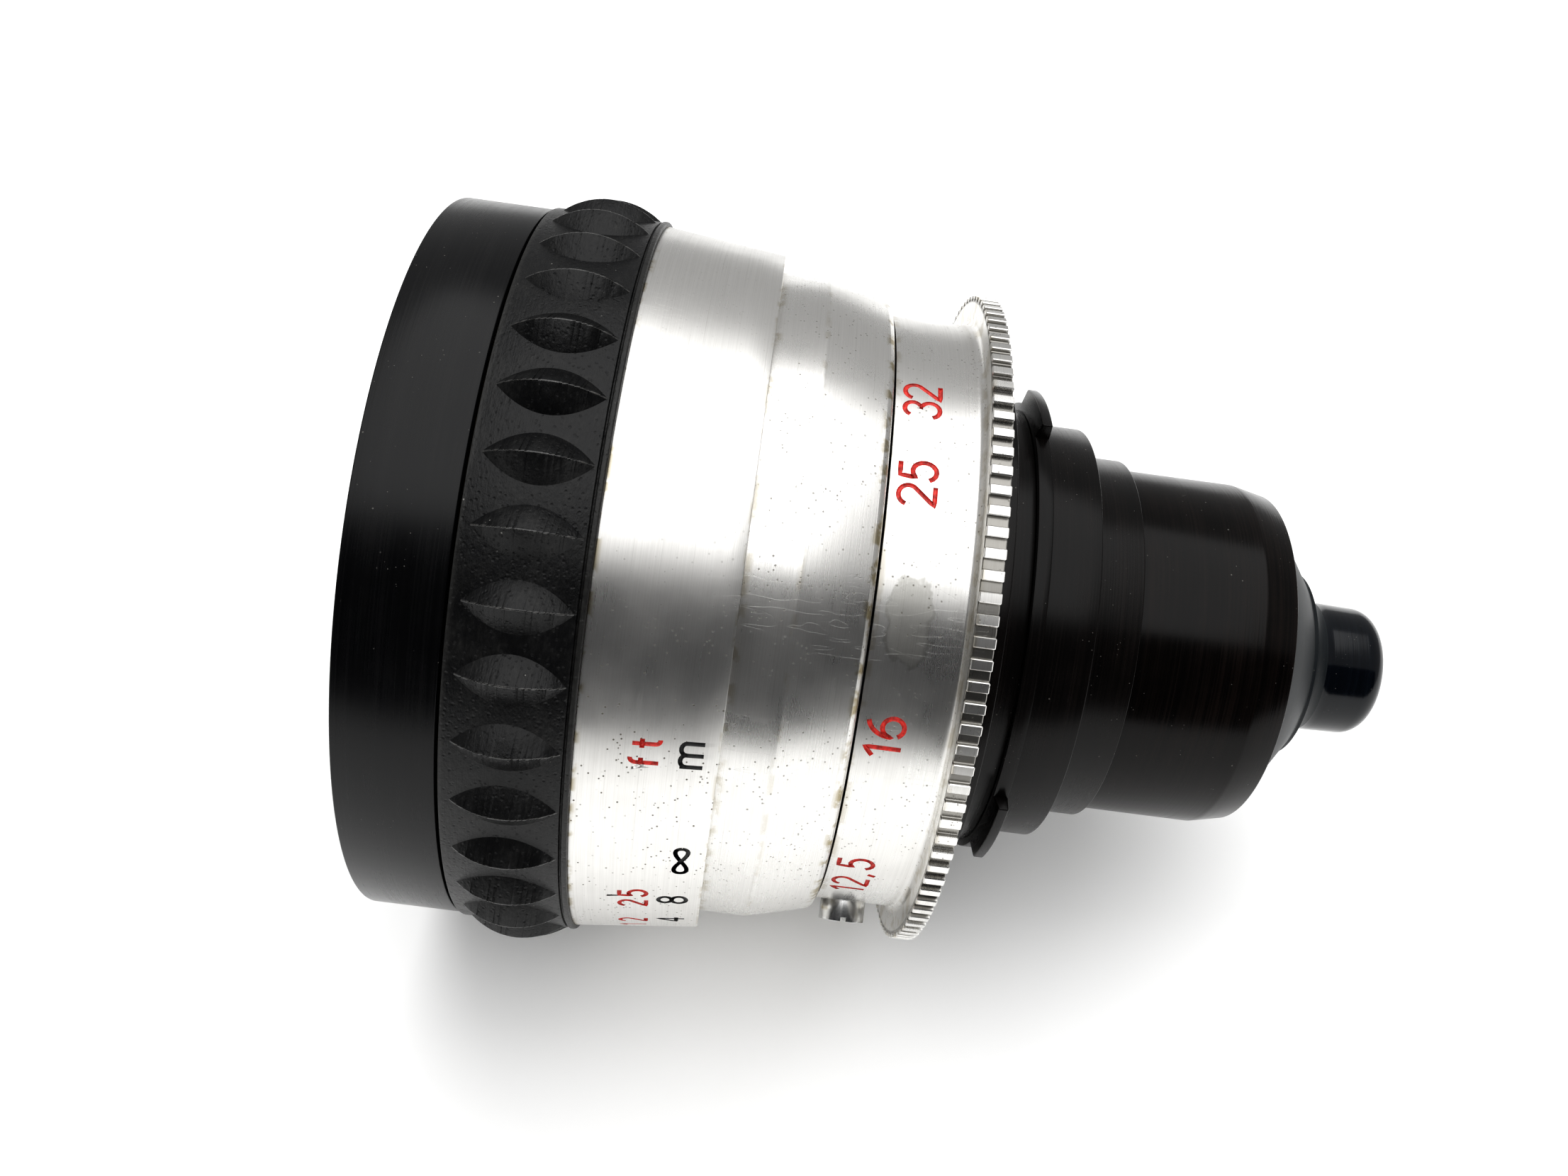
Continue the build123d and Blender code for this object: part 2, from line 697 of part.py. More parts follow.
os.makedirs("parts", exist_ok=True)
for name, shape in parts.items():
    shape.label = name
    export_step(shape, f"parts/{name}.step")
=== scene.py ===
import logging
import math
from dataclasses import dataclass, field
from enum import Enum
from typing import Callable, Iterable, Sequence

import bmesh
import bpy
from mathutils import Matrix, Vector


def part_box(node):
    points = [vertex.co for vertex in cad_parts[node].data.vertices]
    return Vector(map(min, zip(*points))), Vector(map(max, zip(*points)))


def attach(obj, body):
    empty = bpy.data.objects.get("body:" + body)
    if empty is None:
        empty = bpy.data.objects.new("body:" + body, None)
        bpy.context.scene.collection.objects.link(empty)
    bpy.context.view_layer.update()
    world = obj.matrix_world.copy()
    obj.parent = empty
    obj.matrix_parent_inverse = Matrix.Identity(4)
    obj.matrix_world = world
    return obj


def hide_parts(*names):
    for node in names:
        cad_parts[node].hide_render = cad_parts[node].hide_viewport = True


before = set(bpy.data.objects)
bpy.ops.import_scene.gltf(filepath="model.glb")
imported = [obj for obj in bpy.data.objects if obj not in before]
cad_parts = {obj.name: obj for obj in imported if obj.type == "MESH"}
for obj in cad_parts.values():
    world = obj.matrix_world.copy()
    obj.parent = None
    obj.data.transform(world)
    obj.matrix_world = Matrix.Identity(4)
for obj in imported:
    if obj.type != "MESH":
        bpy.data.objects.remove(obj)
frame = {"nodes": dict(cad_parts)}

log = logging.getLogger("prime_lens")

MM = 0.001
AXIS = (0.0, 1.0, 0.0)

Point = tuple[float, float]
Color = tuple[float, float, float]


# ---------------------------------------------------------------- hand tools


class Cut(Enum):
    """How one solid is worked by another."""

    REMOVE = "DIFFERENCE"
    KEEP_SHARED = "INTERSECT"


class Bench:
    """Hand tools: each method drives a few mesh operators on one piece."""

    @staticmethod
    def take(*pieces: bpy.types.Object) -> None:
        """Select these pieces alone; the first one becomes active."""
        if bpy.context.mode != "OBJECT":
            bpy.ops.object.mode_set(mode="OBJECT")
        bpy.ops.object.select_all(action="DESELECT")
        for piece in pieces:
            piece.select_set(True)
        if pieces:
            bpy.context.view_layer.objects.active = pieces[0]

    @staticmethod
    def name_active(name: str) -> bpy.types.Object:
        """Name the active piece and its mesh, and return it."""
        piece = bpy.context.view_layer.objects.active
        piece.name = name
        piece.data.name = name
        return piece

    @staticmethod
    def settle(piece: bpy.types.Object) -> bpy.types.Object:
        """Move the place, turn and size of a piece into its mesh."""
        Bench.take(piece)
        bpy.ops.object.transform_apply(location=True, rotation=True, scale=True)
        return piece

    @staticmethod
    def lathe(name: str, outline: Sequence[Point], steps: int = 256, closed: bool = True) -> bpy.types.Object:
        """Turn an outline round the optical axis.

        Args:
            name: name of the new piece.
            outline: (radius, y) points in millimetres, in order round the section.
            steps: number of facets in a full turn.
            closed: whether the last point joins the first.

        Returns:
            The turned piece, at the origin, with its normals outwards.
        """
        Bench.take()
        bpy.ops.mesh.primitive_plane_add(size=MM)
        piece = Bench.name_active(name)
        bpy.ops.object.mode_set(mode="EDIT")
        bpy.ops.mesh.select_mode(type="VERT")
        bpy.ops.mesh.select_all(action="SELECT")
        bpy.ops.mesh.merge(type="CENTER")
        points = list(outline) + ([outline[0]] if closed else [])
        here = Vector((points[0][0] * MM, points[0][1] * MM, 0))
        bpy.ops.transform.translate(value=here)
        for radius, y in points[1:]:
            there = Vector((radius * MM, y * MM, 0))
            bpy.ops.mesh.extrude_region_move(TRANSFORM_OT_translate={"value": there - here})
            here = there
        bpy.ops.mesh.select_all(action="SELECT")
        bpy.ops.mesh.spin(steps=steps, angle=math.tau, center=(0, 0, 0), axis=AXIS)
        bpy.ops.mesh.select_all(action="SELECT")
        bpy.ops.mesh.remove_doubles(threshold=1e-7)
        bpy.ops.mesh.normals_make_consistent(inside=False)
        bpy.ops.object.mode_set(mode="OBJECT")
        return piece

    @staticmethod
    def soften(
        piece: bpy.types.Object, width: float, rings: int = 2, above: float = 30, finish_slot: int = -1
    ) -> None:
        """Round the sharp edges of a piece.

        Args:
            piece: the piece to work on.
            width: how wide the rounding is, in millimetres.
            rings: number of strips across it.
            above: only edges sharper than this angle in degrees are rounded.
            finish_slot: material slot for the rounding; -1 keeps the material beside it.
        """
        Bench.take(piece)
        bevel = piece.modifiers.new("edge", "BEVEL")
        bevel.width = width * MM
        bevel.segments = rings
        bevel.limit_method = "ANGLE"
        bevel.angle_limit = math.radians(above)
        bevel.harden_normals = False
        bevel.material = finish_slot
        bpy.ops.object.modifier_apply(modifier=bevel.name)

    @staticmethod
    def work(piece: bpy.types.Object, tool: bpy.types.Object, cut: Cut, crossing: bool = False) -> None:
        """Cut a piece with a tool and put the tool away.

        Args:
            piece: the piece to keep.
            tool: the closed solid that works on it.
            cut: whether the tool's space is removed or is all that stays.
            crossing: whether the tool passes through itself.
        """
        Bench.take(piece)
        change = piece.modifiers.new("cut", "BOOLEAN")
        change.operation = cut.value
        change.solver = "EXACT"
        change.object = tool
        change.use_self = crossing
        change.material_mode = "TRANSFER"
        bpy.ops.object.modifier_apply(modifier=change.name)
        bpy.data.objects.remove(tool)

    @staticmethod
    def repeat_round(piece: bpy.types.Object, count: int) -> None:
        """Copy all of a mesh round the optical axis."""
        Bench.take(piece)
        bpy.ops.object.mode_set(mode="EDIT")
        bpy.ops.mesh.select_all(action="SELECT")
        bpy.ops.mesh.spin(steps=count, dupli=True, angle=math.tau, center=(0, 0, 0), axis=AXIS)
        bpy.ops.mesh.select_all(action="SELECT")
        bpy.ops.mesh.remove_doubles(threshold=1e-7)
        bpy.ops.mesh.normals_make_consistent(inside=False)
        bpy.ops.object.mode_set(mode="OBJECT")

    @staticmethod
    def turn_to(piece: bpy.types.Object, clock: float) -> None:
        """Turn a mesh round the optical axis, from clock 0 to a clock angle in degrees."""
        piece.data.transform(Matrix.Rotation(math.radians(-clock), 4, "Y"))

    @staticmethod
    def join(pieces: Sequence[bpy.types.Object]) -> bpy.types.Object:
        """Join pieces into the first of them."""
        Bench.take(*pieces)
        bpy.ops.object.join()
        return pieces[0]

    @staticmethod
    def smooth(piece: bpy.types.Object, angle: float = 32) -> None:
        """Shade a piece smooth except over edges sharper than an angle in degrees."""
        Bench.take(piece)
        bpy.ops.object.shade_smooth_by_angle(angle=math.radians(angle))


def fit(piece: bpy.types.Object, body: str, slot: str, *nodes: str) -> bpy.types.Object:
    """Let a finished piece ride on its body and stand for its CAD nodes."""
    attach(piece, body)
    if nodes:
        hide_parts(*nodes)
    log.info("piece %s rides on %s", piece.name, body)
    return piece


@dataclass(frozen=True)
class Span:
    """Stations of one CAD node along the axis and its outer radius, in millimetres."""

    front: float
    rear: float
    radius: float

    @classmethod
    def of(cls, node: str) -> "Span":
        """Measure a CAD node."""
        low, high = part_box(node)
        return cls(low.y / MM, high.y / MM, high.x / MM)


# ---------------------------------------------------------------- shader tools


class Wire:
    """A shader socket that takes part in sums."""

    def __init__(self, paint: "Paint", socket: bpy.types.NodeSocket) -> None:
        self.paint = paint
        self.socket = socket

    def _math(self, operation: str, a: "Wire | float", b: "Wire | float" = 0.0) -> "Wire":
        """Add one Math node and return its result."""
        node = self.paint.node("ShaderNodeMath", {"operation": operation}, {0: a, 1: b})
        return Wire(self.paint, node.outputs[0])

    def __add__(self, other: "Wire | float") -> "Wire":
        return self._math("ADD", self, other)

    def __sub__(self, other: "Wire | float") -> "Wire":
        return self._math("SUBTRACT", self, other)

    def __mul__(self, other: "Wire | float") -> "Wire":
        return self._math("MULTIPLY", self, other)

    def __truediv__(self, other: "Wire | float") -> "Wire":
        return self._math("DIVIDE", self, other)

    def __pow__(self, other: "Wire | float") -> "Wire":
        return self._math("POWER", self, other)

    def least(self, other: "Wire | float") -> "Wire":
        """The smaller of two values."""
        return self._math("MINIMUM", self, other)

    def most(self, other: "Wire | float") -> "Wire":
        """The larger of two values."""
        return self._math("MAXIMUM", self, other)

    def size(self) -> "Wire":
        """The value without its sign."""
        return self._math("ABSOLUTE", self)

    def ramp(self, start: float, end: float, low: float = 0.0, high: float = 1.0) -> "Wire":
        """A soft step from one value to another between two inputs."""
        node = self.paint.node(
            "ShaderNodeMapRange",
            {"interpolation_type": "SMOOTHSTEP", "clamp": True},
            {"Value": self, "From Min": start, "From Max": end, "To Min": low, "To Max": high},
        )
        return Wire(self.paint, node.outputs["Result"])

    def band(self, low: float, high: float, edge: float) -> "Wire":
        """1 between two inputs and 0 outside them, with soft edges."""
        return self.ramp(low - edge, low + edge) * self.ramp(high - edge, high + edge, 1.0, 0.0)


class Paint:
    """One material under construction."""

    def __init__(self, name: str) -> None:
        self.material = bpy.data.materials.new(name)
        self.material.use_nodes = True
        self.tree = self.material.node_tree
        self.shader = self.tree.nodes["Principled BSDF"]
        coordinates = self.node("ShaderNodeTexCoord")
        self.place = Wire(self, coordinates.outputs["Object"])

    def node(self, kind: str, settings: dict | None = None, inputs: dict | None = None) -> bpy.types.Node:
        """Add a node.

        Args:
            kind: the node's type.
            settings: attributes to set first.
            inputs: values or wires for its sockets, by name or number.

        Returns:
            The new node.
        """
        made = self.tree.nodes.new(kind)
        for key, value in (settings or {}).items():
            setattr(made, key, value)
        for key, value in (inputs or {}).items():
            if isinstance(value, Wire):
                self.tree.links.new(value.socket, made.inputs[key])
            else:
                made.inputs[key].default_value = value
        return made

    def stretched(self, across: float, along: float) -> Wire:
        """Object place scaled across the axis and along it, in cells per metre."""
        node = self.node("ShaderNodeMapping", {}, {"Vector": self.place, "Scale": (across, along, across)})
        return Wire(self, node.outputs["Vector"])

    def noise(self, across: float, along: float, detail: float = 2.0, rough: float = 0.5) -> Wire:
        """Cloudy noise, stretched round the axis when along is finer than across."""
        node = self.node(
            "ShaderNodeTexNoise",
            {},
            {"Vector": self.stretched(across, along), "Scale": 1.0, "Detail": detail, "Roughness": rough},
        )
        return Wire(self, node.outputs["Fac"])

    def cells(self, scale: float, along: float | None = None) -> Wire:
        """Distance to the nearest of scattered points."""
        vector = self.stretched(scale, along or scale)
        node = self.node("ShaderNodeTexVoronoi", {"feature": "F1"}, {"Vector": vector, "Scale": 1.0})
        return Wire(self, node.outputs["Distance"])

    def station(self) -> Wire:
        """Place along the optical axis, in millimetres."""
        node = self.node("ShaderNodeSeparateXYZ", {}, {0: self.place})
        return Wire(self, node.outputs["Y"]) * (1 / MM)

    def reach(self) -> Wire:
        """Distance from the optical axis, in millimetres."""
        parts = self.node("ShaderNodeSeparateXYZ", {}, {0: self.place})
        x, z = Wire(self, parts.outputs["X"]), Wire(self, parts.outputs["Z"])
        return (x * x + z * z) ** 0.5 * (1 / MM)

    def clock(self) -> Wire:
        """Angle round the optical axis, in degrees from +X towards +Z."""
        parts = self.node("ShaderNodeSeparateXYZ", {}, {0: self.place})
        x, z = Wire(self, parts.outputs["X"]), Wire(self, parts.outputs["Z"])
        return z._math("ARCTAN2", z, x) * (180 / math.pi)

    def blend(self, share: Wire, first: "Wire | Color", second: "Wire | Color") -> Wire:
        """Mix two colours by a share of the second."""
        node = self.node("ShaderNodeMix", {"data_type": "RGBA"}, {0: share})
        for index, value in ((6, first), (7, second)):
            if isinstance(value, Wire):
                self.tree.links.new(value.socket, node.inputs[index])
            else:
                node.inputs[index].default_value = (*value, 1.0)
        return Wire(self, node.outputs[2])

    def feed(self, **sockets: "Wire | float | Color") -> None:
        """Set shader sockets by name, with underscores for spaces."""
        for key, value in sockets.items():
            socket = self.shader.inputs[key.replace("_", " ")]
            if isinstance(value, Wire):
                self.tree.links.new(value.socket, socket)
            elif isinstance(value, tuple):
                socket.default_value = (*value, 1.0)
            else:
                socket.default_value = value

    def relief(self, height: Wire, depth: float) -> None:
        """Give the surface small relief; the depth is in millimetres."""
        bump = self.node("ShaderNodeBump", {}, {"Height": height, "Distance": depth * MM, "Strength": 1.0})
        self.tree.links.new(bump.outputs["Normal"], self.shader.inputs["Normal"])


# ---------------------------------------------------------------- finishes


@dataclass(frozen=True)
class BareAluminium:
    """Turned aluminium, handled for decades: fine grain, pits, dull patches, grime by the edges, and painted
    shade on the floor of tooth gaps.
    """

    name: str
    color: Color = (0.86, 0.85, 0.825)
    roughness: float = 0.30
    grime_at: tuple[tuple[float, float, float], ...] = ()
    stain_clock: float | None = None
    stain_station: float = 0.0
    pitting: float = 1.0
    worn_clock: float | None = None
    shaded_gap_radius: float | None = None

    def make(self) -> bpy.types.Material:
        """Build the material."""
        paint = Paint(self.name)
        station = paint.station()
        grain = paint.noise(60, 11000, 2.0)
        coarse = paint.noise(34, 3600, 3.0)
        cloud = paint.noise(120, 120, 4.0, 0.6)
        hairs = paint.noise(70, 6500, 1.0).ramp(0.66, 0.72)
        blotch = paint.noise(420, 420, 3.0, 0.6)
        crowd = paint.noise(70, 70, 2.0).ramp(0.44, 0.62)
        pits = paint.cells(900).ramp(0.07, 0.13, 1.0, 0.0) * crowd
        specks = paint.cells(1500).ramp(0.10, 0.18, 1.0, 0.0) * paint.noise(260, 260).ramp(0.42, 0.55)
        scratch = paint.noise(900, 160, 1.0).band(0.498, 0.503, 0.002) * crowd
        dirt = (pits.most(specks) * self.pitting).least(1.0)
        if self.worn_clock is not None:
            dirt = dirt * (paint.clock() - self.worn_clock).size().ramp(20.0, 48.0, 1.0, 0.15)
        tone = cloud.ramp(0.35, 0.7) * 0.25 + coarse * 0.2 + grain.ramp(0.4, 0.6) * 0.25 + hairs * 0.35
        grey = paint.blend(tone, self.color, (0.68, 0.67, 0.645))
        color = paint.blend(dirt * 0.85, grey, (0.10, 0.085, 0.06))
        for where, width, amount in self.grime_at:
            edge = (station - where).size().ramp(0.0, width, 1.0, 0.0)
            patchy = edge * blotch.ramp(0.47, 0.60) * amount
            color = paint.blend(patchy, color, (0.36, 0.30, 0.17))
        dull = cloud.ramp(0.3, 0.75) * 0.07 + grain * 0.08 + dirt * 0.25
        if self.stain_clock is not None:
            across = (paint.clock() - self.stain_clock).size() / 7.5
            along = (station - self.stain_station).size() / 2.4
            reach = (across ** 2.0 + along ** 2.0) + blotch * 2.2 - 1.1
            patch = reach.ramp(0.55, 1.0, 1.0, 0.0)
            rim = reach.band(0.75, 1.0, 0.1)
            color = paint.blend(patch * 0.35 + rim * 0.25, color, (0.19, 0.185, 0.14))
            dull = dull + patch * 0.06
        # Painted shade: the floor of the tooth gaps is darkened at the gap radius.
        if self.shaded_gap_radius is not None:
            gap = (paint.reach() - self.shaded_gap_radius).size().ramp(0.12, 0.3, 1.0, 0.0)
            color = paint.blend(gap * 0.8, color, (0.20, 0.19, 0.17))
        paint.feed(Metallic=1.0, Base_Color=color, Roughness=dull + (self.roughness - 0.08))
        paint.relief(grain * 0.6 + coarse * 0.2 - dirt * 1.5 - hairs * 0.5 - scratch * 0.8, 0.0032)
        return paint.material


@dataclass(frozen=True)
class BlackFinish:
    """Black coating on metal, with turning grain, dust, and edges rubbed lighter."""

    name: str
    color: Color = (0.0015, 0.0015, 0.0017)
    rubbed: Color = (0.007, 0.007, 0.0068)
    roughness: float = 0.25
    shine: float = 0.22
    grain: float = 1.0
    cast: float = 0.0
    dust: float = 1.0

    def make(self) -> bpy.types.Material:
        """Build the material."""
        paint = Paint(self.name)
        turning = paint.noise(40, 5200, 2.0)
        bands = paint.noise(20, 900, 3.0)
        cloud = paint.noise(150, 150, 4.0, 0.6)
        skin = paint.noise(2600, 2600, 3.0, 0.6)
        lint = paint.cells(700).ramp(0.045, 0.07, 1.0, 0.0) * paint.noise(90, 90).ramp(0.5, 0.6)
        specks = paint.cells(1500).ramp(0.05, 0.09, 1.0, 0.0) * paint.noise(200, 200).ramp(0.54, 0.62)
        dust = lint.most(specks) * self.dust
        worn = (turning * 0.4 + bands * 0.3 + cloud * 0.3).ramp(0.42, 0.66) * 0.6
        color = paint.blend(worn, self.color, self.rubbed)
        color = paint.blend(dust.least(1.0) * 0.4, color, (0.22, 0.21, 0.19))
        rough = cloud * 0.12 + turning * (0.08 * self.grain) + dust * 0.2 + (self.roughness - 0.10)
        paint.feed(Base_Color=color, Roughness=rough, Specular_IOR_Level=self.shine)
        paint.relief(turning * self.grain + bands * (0.6 * self.grain) + skin * self.cast + dust * 0.8, 0.006)
        return paint.material


@dataclass(frozen=True)
class GripBlack:
    """Matt black grip: a cast-looking skin between the lobes and arcs of tool marks on their faces."""

    name: str
    lobe_front: float
    lobe_rear: float
    color: Color = (0.0006, 0.0007, 0.0010)

    def make(self) -> bpy.types.Material:
        """Build the material."""
        paint = Paint(self.name)
        station = paint.station()
        skin = paint.noise(1500, 2300, 4.0, 0.65)
        pits = paint.cells(1700).ramp(0.05, 0.35, 1.0, 0.0)
        cloud = paint.noise(240, 240, 4.0, 0.6)
        marks = paint.noise(300, 6200, 2.0)
        lint = paint.cells(620).ramp(0.03, 0.06, 1.0, 0.0) * paint.noise(110, 110).ramp(0.5, 0.6)
        edge = (station - self.lobe_rear).size().ramp(0.2, 1.3, 1.0, 0.0)
        edge = edge.most((station - self.lobe_front).size().ramp(0.0, 0.7, 1.0, 0.0))
        worn = (skin * 0.5 + cloud * 0.5 + marks * 0.15 + edge * 0.25).ramp(0.52, 0.88)
        color = paint.blend(worn, self.color, (0.013, 0.0127, 0.012))
        color = paint.blend(lint * 0.6, color, (0.30, 0.29, 0.27))
        rough = cloud * 0.18 + pits * 0.1 + 0.30
        paint.feed(Base_Color=color, Roughness=rough, Specular_IOR_Level=0.38)
        paint.relief(skin * 1.3 - pits * 0.6 + marks * 0.4 + cloud * 0.8, 0.05)
        return paint.material


@dataclass(frozen=True)
class EngravingFill:
    """Enamel rubbed into engraved figures."""

    name: str
    color: Color

    def make(self) -> bpy.types.Material:
        """Build the material."""
        paint = Paint(self.name)
        cloud = paint.noise(2500, 2500, 3.0)
        dark = tuple(0.45 * part for part in self.color)
        color = paint.blend(cloud.ramp(0.35, 0.7), self.color, dark)
        paint.feed(Base_Color=color, Roughness=cloud * 0.3 + 0.35)
        paint.relief(cloud, 0.01)
        return paint.material


@dataclass(frozen=True)
class CoatedGlass:
    """Lens glass with a thin coating that tints its reflections."""

    name: str
    tint: Color = (0.93, 0.95, 0.96)
    ior: float = 1.62

    def make(self) -> bpy.types.Material:
        """Build the material."""
        paint = Paint(self.name)
        wipe = paint.noise(160, 160, 3.0)
        dust = paint.cells(420).ramp(0.02, 0.04, 1.0, 0.0)
        paint.feed(
            Base_Color=self.tint,
            Transmission_Weight=1.0,
            IOR=self.ior,
            Specular_IOR_Level=0.22,
            Specular_Tint=(0.62, 0.55, 1.0),
            Roughness=wipe * 0.03 + dust * 0.2,
        )
        return paint.material


@dataclass(frozen=True)
class Metal:
    """Turned brass or steel, as found inside the lens."""

    name: str
    color: Color
    roughness: float = 0.28

    def make(self) -> bpy.types.Material:
        """Build the material."""
        paint = Paint(self.name)
        turning = paint.noise(60, 6000, 2.0)
        cloud = paint.noise(300, 300, 3.0)
        dark = tuple(0.6 * part for part in self.color)
        color = paint.blend(cloud.ramp(0.4, 0.75) * 0.6, self.color, dark)
        rough = turning * 0.12 + cloud * 0.1 + (self.roughness - 0.1)
        paint.feed(Metallic=1.0, Base_Color=color, Roughness=rough)
        paint.relief(turning, 0.004)
        return paint.material


Finish = BareAluminium | BlackFinish | GripBlack | EngravingFill | CoatedGlass | Metal


class Shelf:
    """The finishes in use, each made once."""

    def __init__(self) -> None:
        self._made: dict[str, bpy.types.Material] = {}

    def get(self, finish: Finish) -> bpy.types.Material:
        """Return the material of a finish."""
        if finish.name not in self._made:
            self._made[finish.name] = finish.make()
        return self._made[finish.name]

    def dress(self, piece: bpy.types.Object, finish: Finish) -> None:
        """Give a piece one finish all over."""
        piece.data.materials.clear()
        piece.data.materials.append(self.get(finish))


SHELF = Shelf()

RED = EngravingFill("red_enamel", (0.62, 0.035, 0.025))
BLACK = EngravingFill("black_enamel", (0.012, 0.012, 0.012))
HOOD_BLACK = BlackFinish(
    "hood_black", color=(0.0006, 0.0007, 0.0011), rubbed=(0.004, 0.0039, 0.0042), roughness=0.26, shine=0.31
)
MOUNT_BLACK = BlackFinish(
    "mount_black", color=(0.0014, 0.0011, 0.0010), rubbed=(0.007, 0.005, 0.0045), roughness=0.26
)
SLEEVE_BLACK = BlackFinish(
    "sleeve_black", color=(0.0012, 0.0008, 0.0007), rubbed=(0.008, 0.005, 0.004), roughness=0.19, shine=0.20,
    grain=1.6, dust=1.3,
)
CONE_BLACK = BlackFinish(
    "cone_black", color=(0.006, 0.008, 0.0095), rubbed=(0.016, 0.019, 0.022), roughness=0.40, grain=0.8
)
NUB_BLACK = BlackFinish(
    "nub_black", color=(0.0012, 0.0020, 0.0036), rubbed=(0.004, 0.006, 0.009), roughness=0.16, shine=0.34,
    grain=0.5,
)
# Lighter colour on the lobes' rounded edges: worn edges together with a painted highlight on the ridges.
GRIP_EDGE_WEAR_AND_HIGHLIGHT = BlackFinish(
    "grip_edge_wear_and_highlight", color=(0.010, 0.010, 0.010), rubbed=(0.09, 0.086, 0.08), roughness=0.28, shine=0.8, grain=0.6
)
INNER_BLACK = BlackFinish("inner_black", color=(0.003, 0.003, 0.003), roughness=0.6, shine=0.2, dust=0.4)
BLADE_BLACK = BlackFinish("blade_black", color=(0.03, 0.03, 0.032), roughness=0.35, grain=0.4, dust=0.2)
BRASS = Metal("thread_brass", (0.62, 0.46, 0.20))
STEEL = Metal("screw_steel", (0.80, 0.80, 0.79), 0.22)
GLASS = CoatedGlass("coated_glass")


# ---------------------------------------------------------------- engraving


def arc(cx: float, cy: float, rx: float, ry: float, start: float, end: float, count: int = 14) -> list[Point]:
    """Points along part of an ellipse, angles in degrees."""
    turn = [math.radians(start + (end - start) * i / (count - 1)) for i in range(count)]
    return [(cx + rx * math.cos(a), cy + ry * math.sin(a)) for a in turn]


@dataclass(frozen=True)
class Glyph:
    """One engraved character: its width, and strokes in a box of height 1."""

    width: float
    strokes: tuple[tuple[Point, ...], ...]


def glyphs() -> dict[str, Glyph]:
    """The engraver's alphabet that the scales need."""
    half = 0.28
    turns = [math.tau * i / 36 for i in range(37)]
    knot = [(0.42 + 0.42 * math.cos(t), 0.34 + 0.40 * math.sin(t) * math.cos(t)) for t in turns]
    shapes: dict[str, tuple[float, list[list[Point]]]] = {
        "0": (0.56, [arc(half, 0.5, half, 0.5, 90, 450, 28)]),
        "1": (0.30, [[(0.0, 0.76), (0.26, 1.0), (0.26, 0.0)]]),
        "2": (0.56, [arc(half, 0.72, half, 0.28, 165, -32) + [(0.02, 0.0), (0.58, 0.0)]]),
        "3": (0.56, [arc(half, 0.76, 0.25, 0.24, 160, -80) + arc(half, 0.27, half, 0.27, 80, -165)]),
        "4": (0.60, [[(0.44, 0.0), (0.44, 1.0), (0.0, 0.30), (0.62, 0.30)]]),
        "5": (0.56, [[(0.53, 1.0), (0.12, 1.0), (0.08, 0.56)] + arc(half, 0.33, half, 0.33, 128, -155)]),
        "6": (0.56, [arc(0.56, 0.34, 0.56, 0.66, 100, 180) + arc(half, 0.30, half, 0.30, 178, -152, 22)]),
        "7": (0.56, [[(0.02, 1.0), (0.56, 1.0), (0.20, 0.0)]]),
        "8": (0.56, [arc(half, 0.76, 0.24, 0.24, -90, 270, 24), arc(half, 0.26, half, 0.26, 90, 450, 24)]),
        ",": (0.12, [[(0.08, 0.06), (0.0, -0.16)]]),
        "f": (0.40, [arc(0.36, 0.78, 0.17, 0.22, 80, 180, 8) + [(0.19, 0.0)], [(0.0, 0.62), (0.38, 0.62)]]),
        "t": (0.40, [[(0.17, 0.96)] + arc(0.32, 0.15, 0.15, 0.15, 180, 280, 8), [(0.0, 0.62), (0.36, 0.62)]]),
        "m": (0.86, [
            [(0.02, 0.0), (0.02, 0.98)],
            [(0.02, 0.72)] + arc(0.23, 0.76, 0.20, 0.22, 165, 0, 9) + [(0.43, 0.0)],
            [(0.43, 0.72)] + arc(0.64, 0.76, 0.20, 0.22, 165, 0, 9) + [(0.84, 0.0)],
        ]),
        "|": (0.02, [[(0.0, 0.0), (0.0, 1.0)]]),
        "∞": (0.84, [knot]),
    }
    return {
        key: Glyph(width, tuple(tuple(stroke) for stroke in strokes))
        for key, (width, strokes) in shapes.items()
    }


GLYPHS = glyphs()


@dataclass(frozen=True)
class Label:
    """A word cut round a ring, its foot towards the rear of the lens.

    Attributes:
        text: the characters.
        start: clock angle where the first character starts, in degrees.
        end: clock angle where the last one ends.
        top: station of the top of the characters, in millimetres.
        foot: station of their foot.
        fill: the enamel in the strokes.
    """

    text: str
    start: float
    end: float
    top: float
    foot: float
    fill: EngravingFill = RED


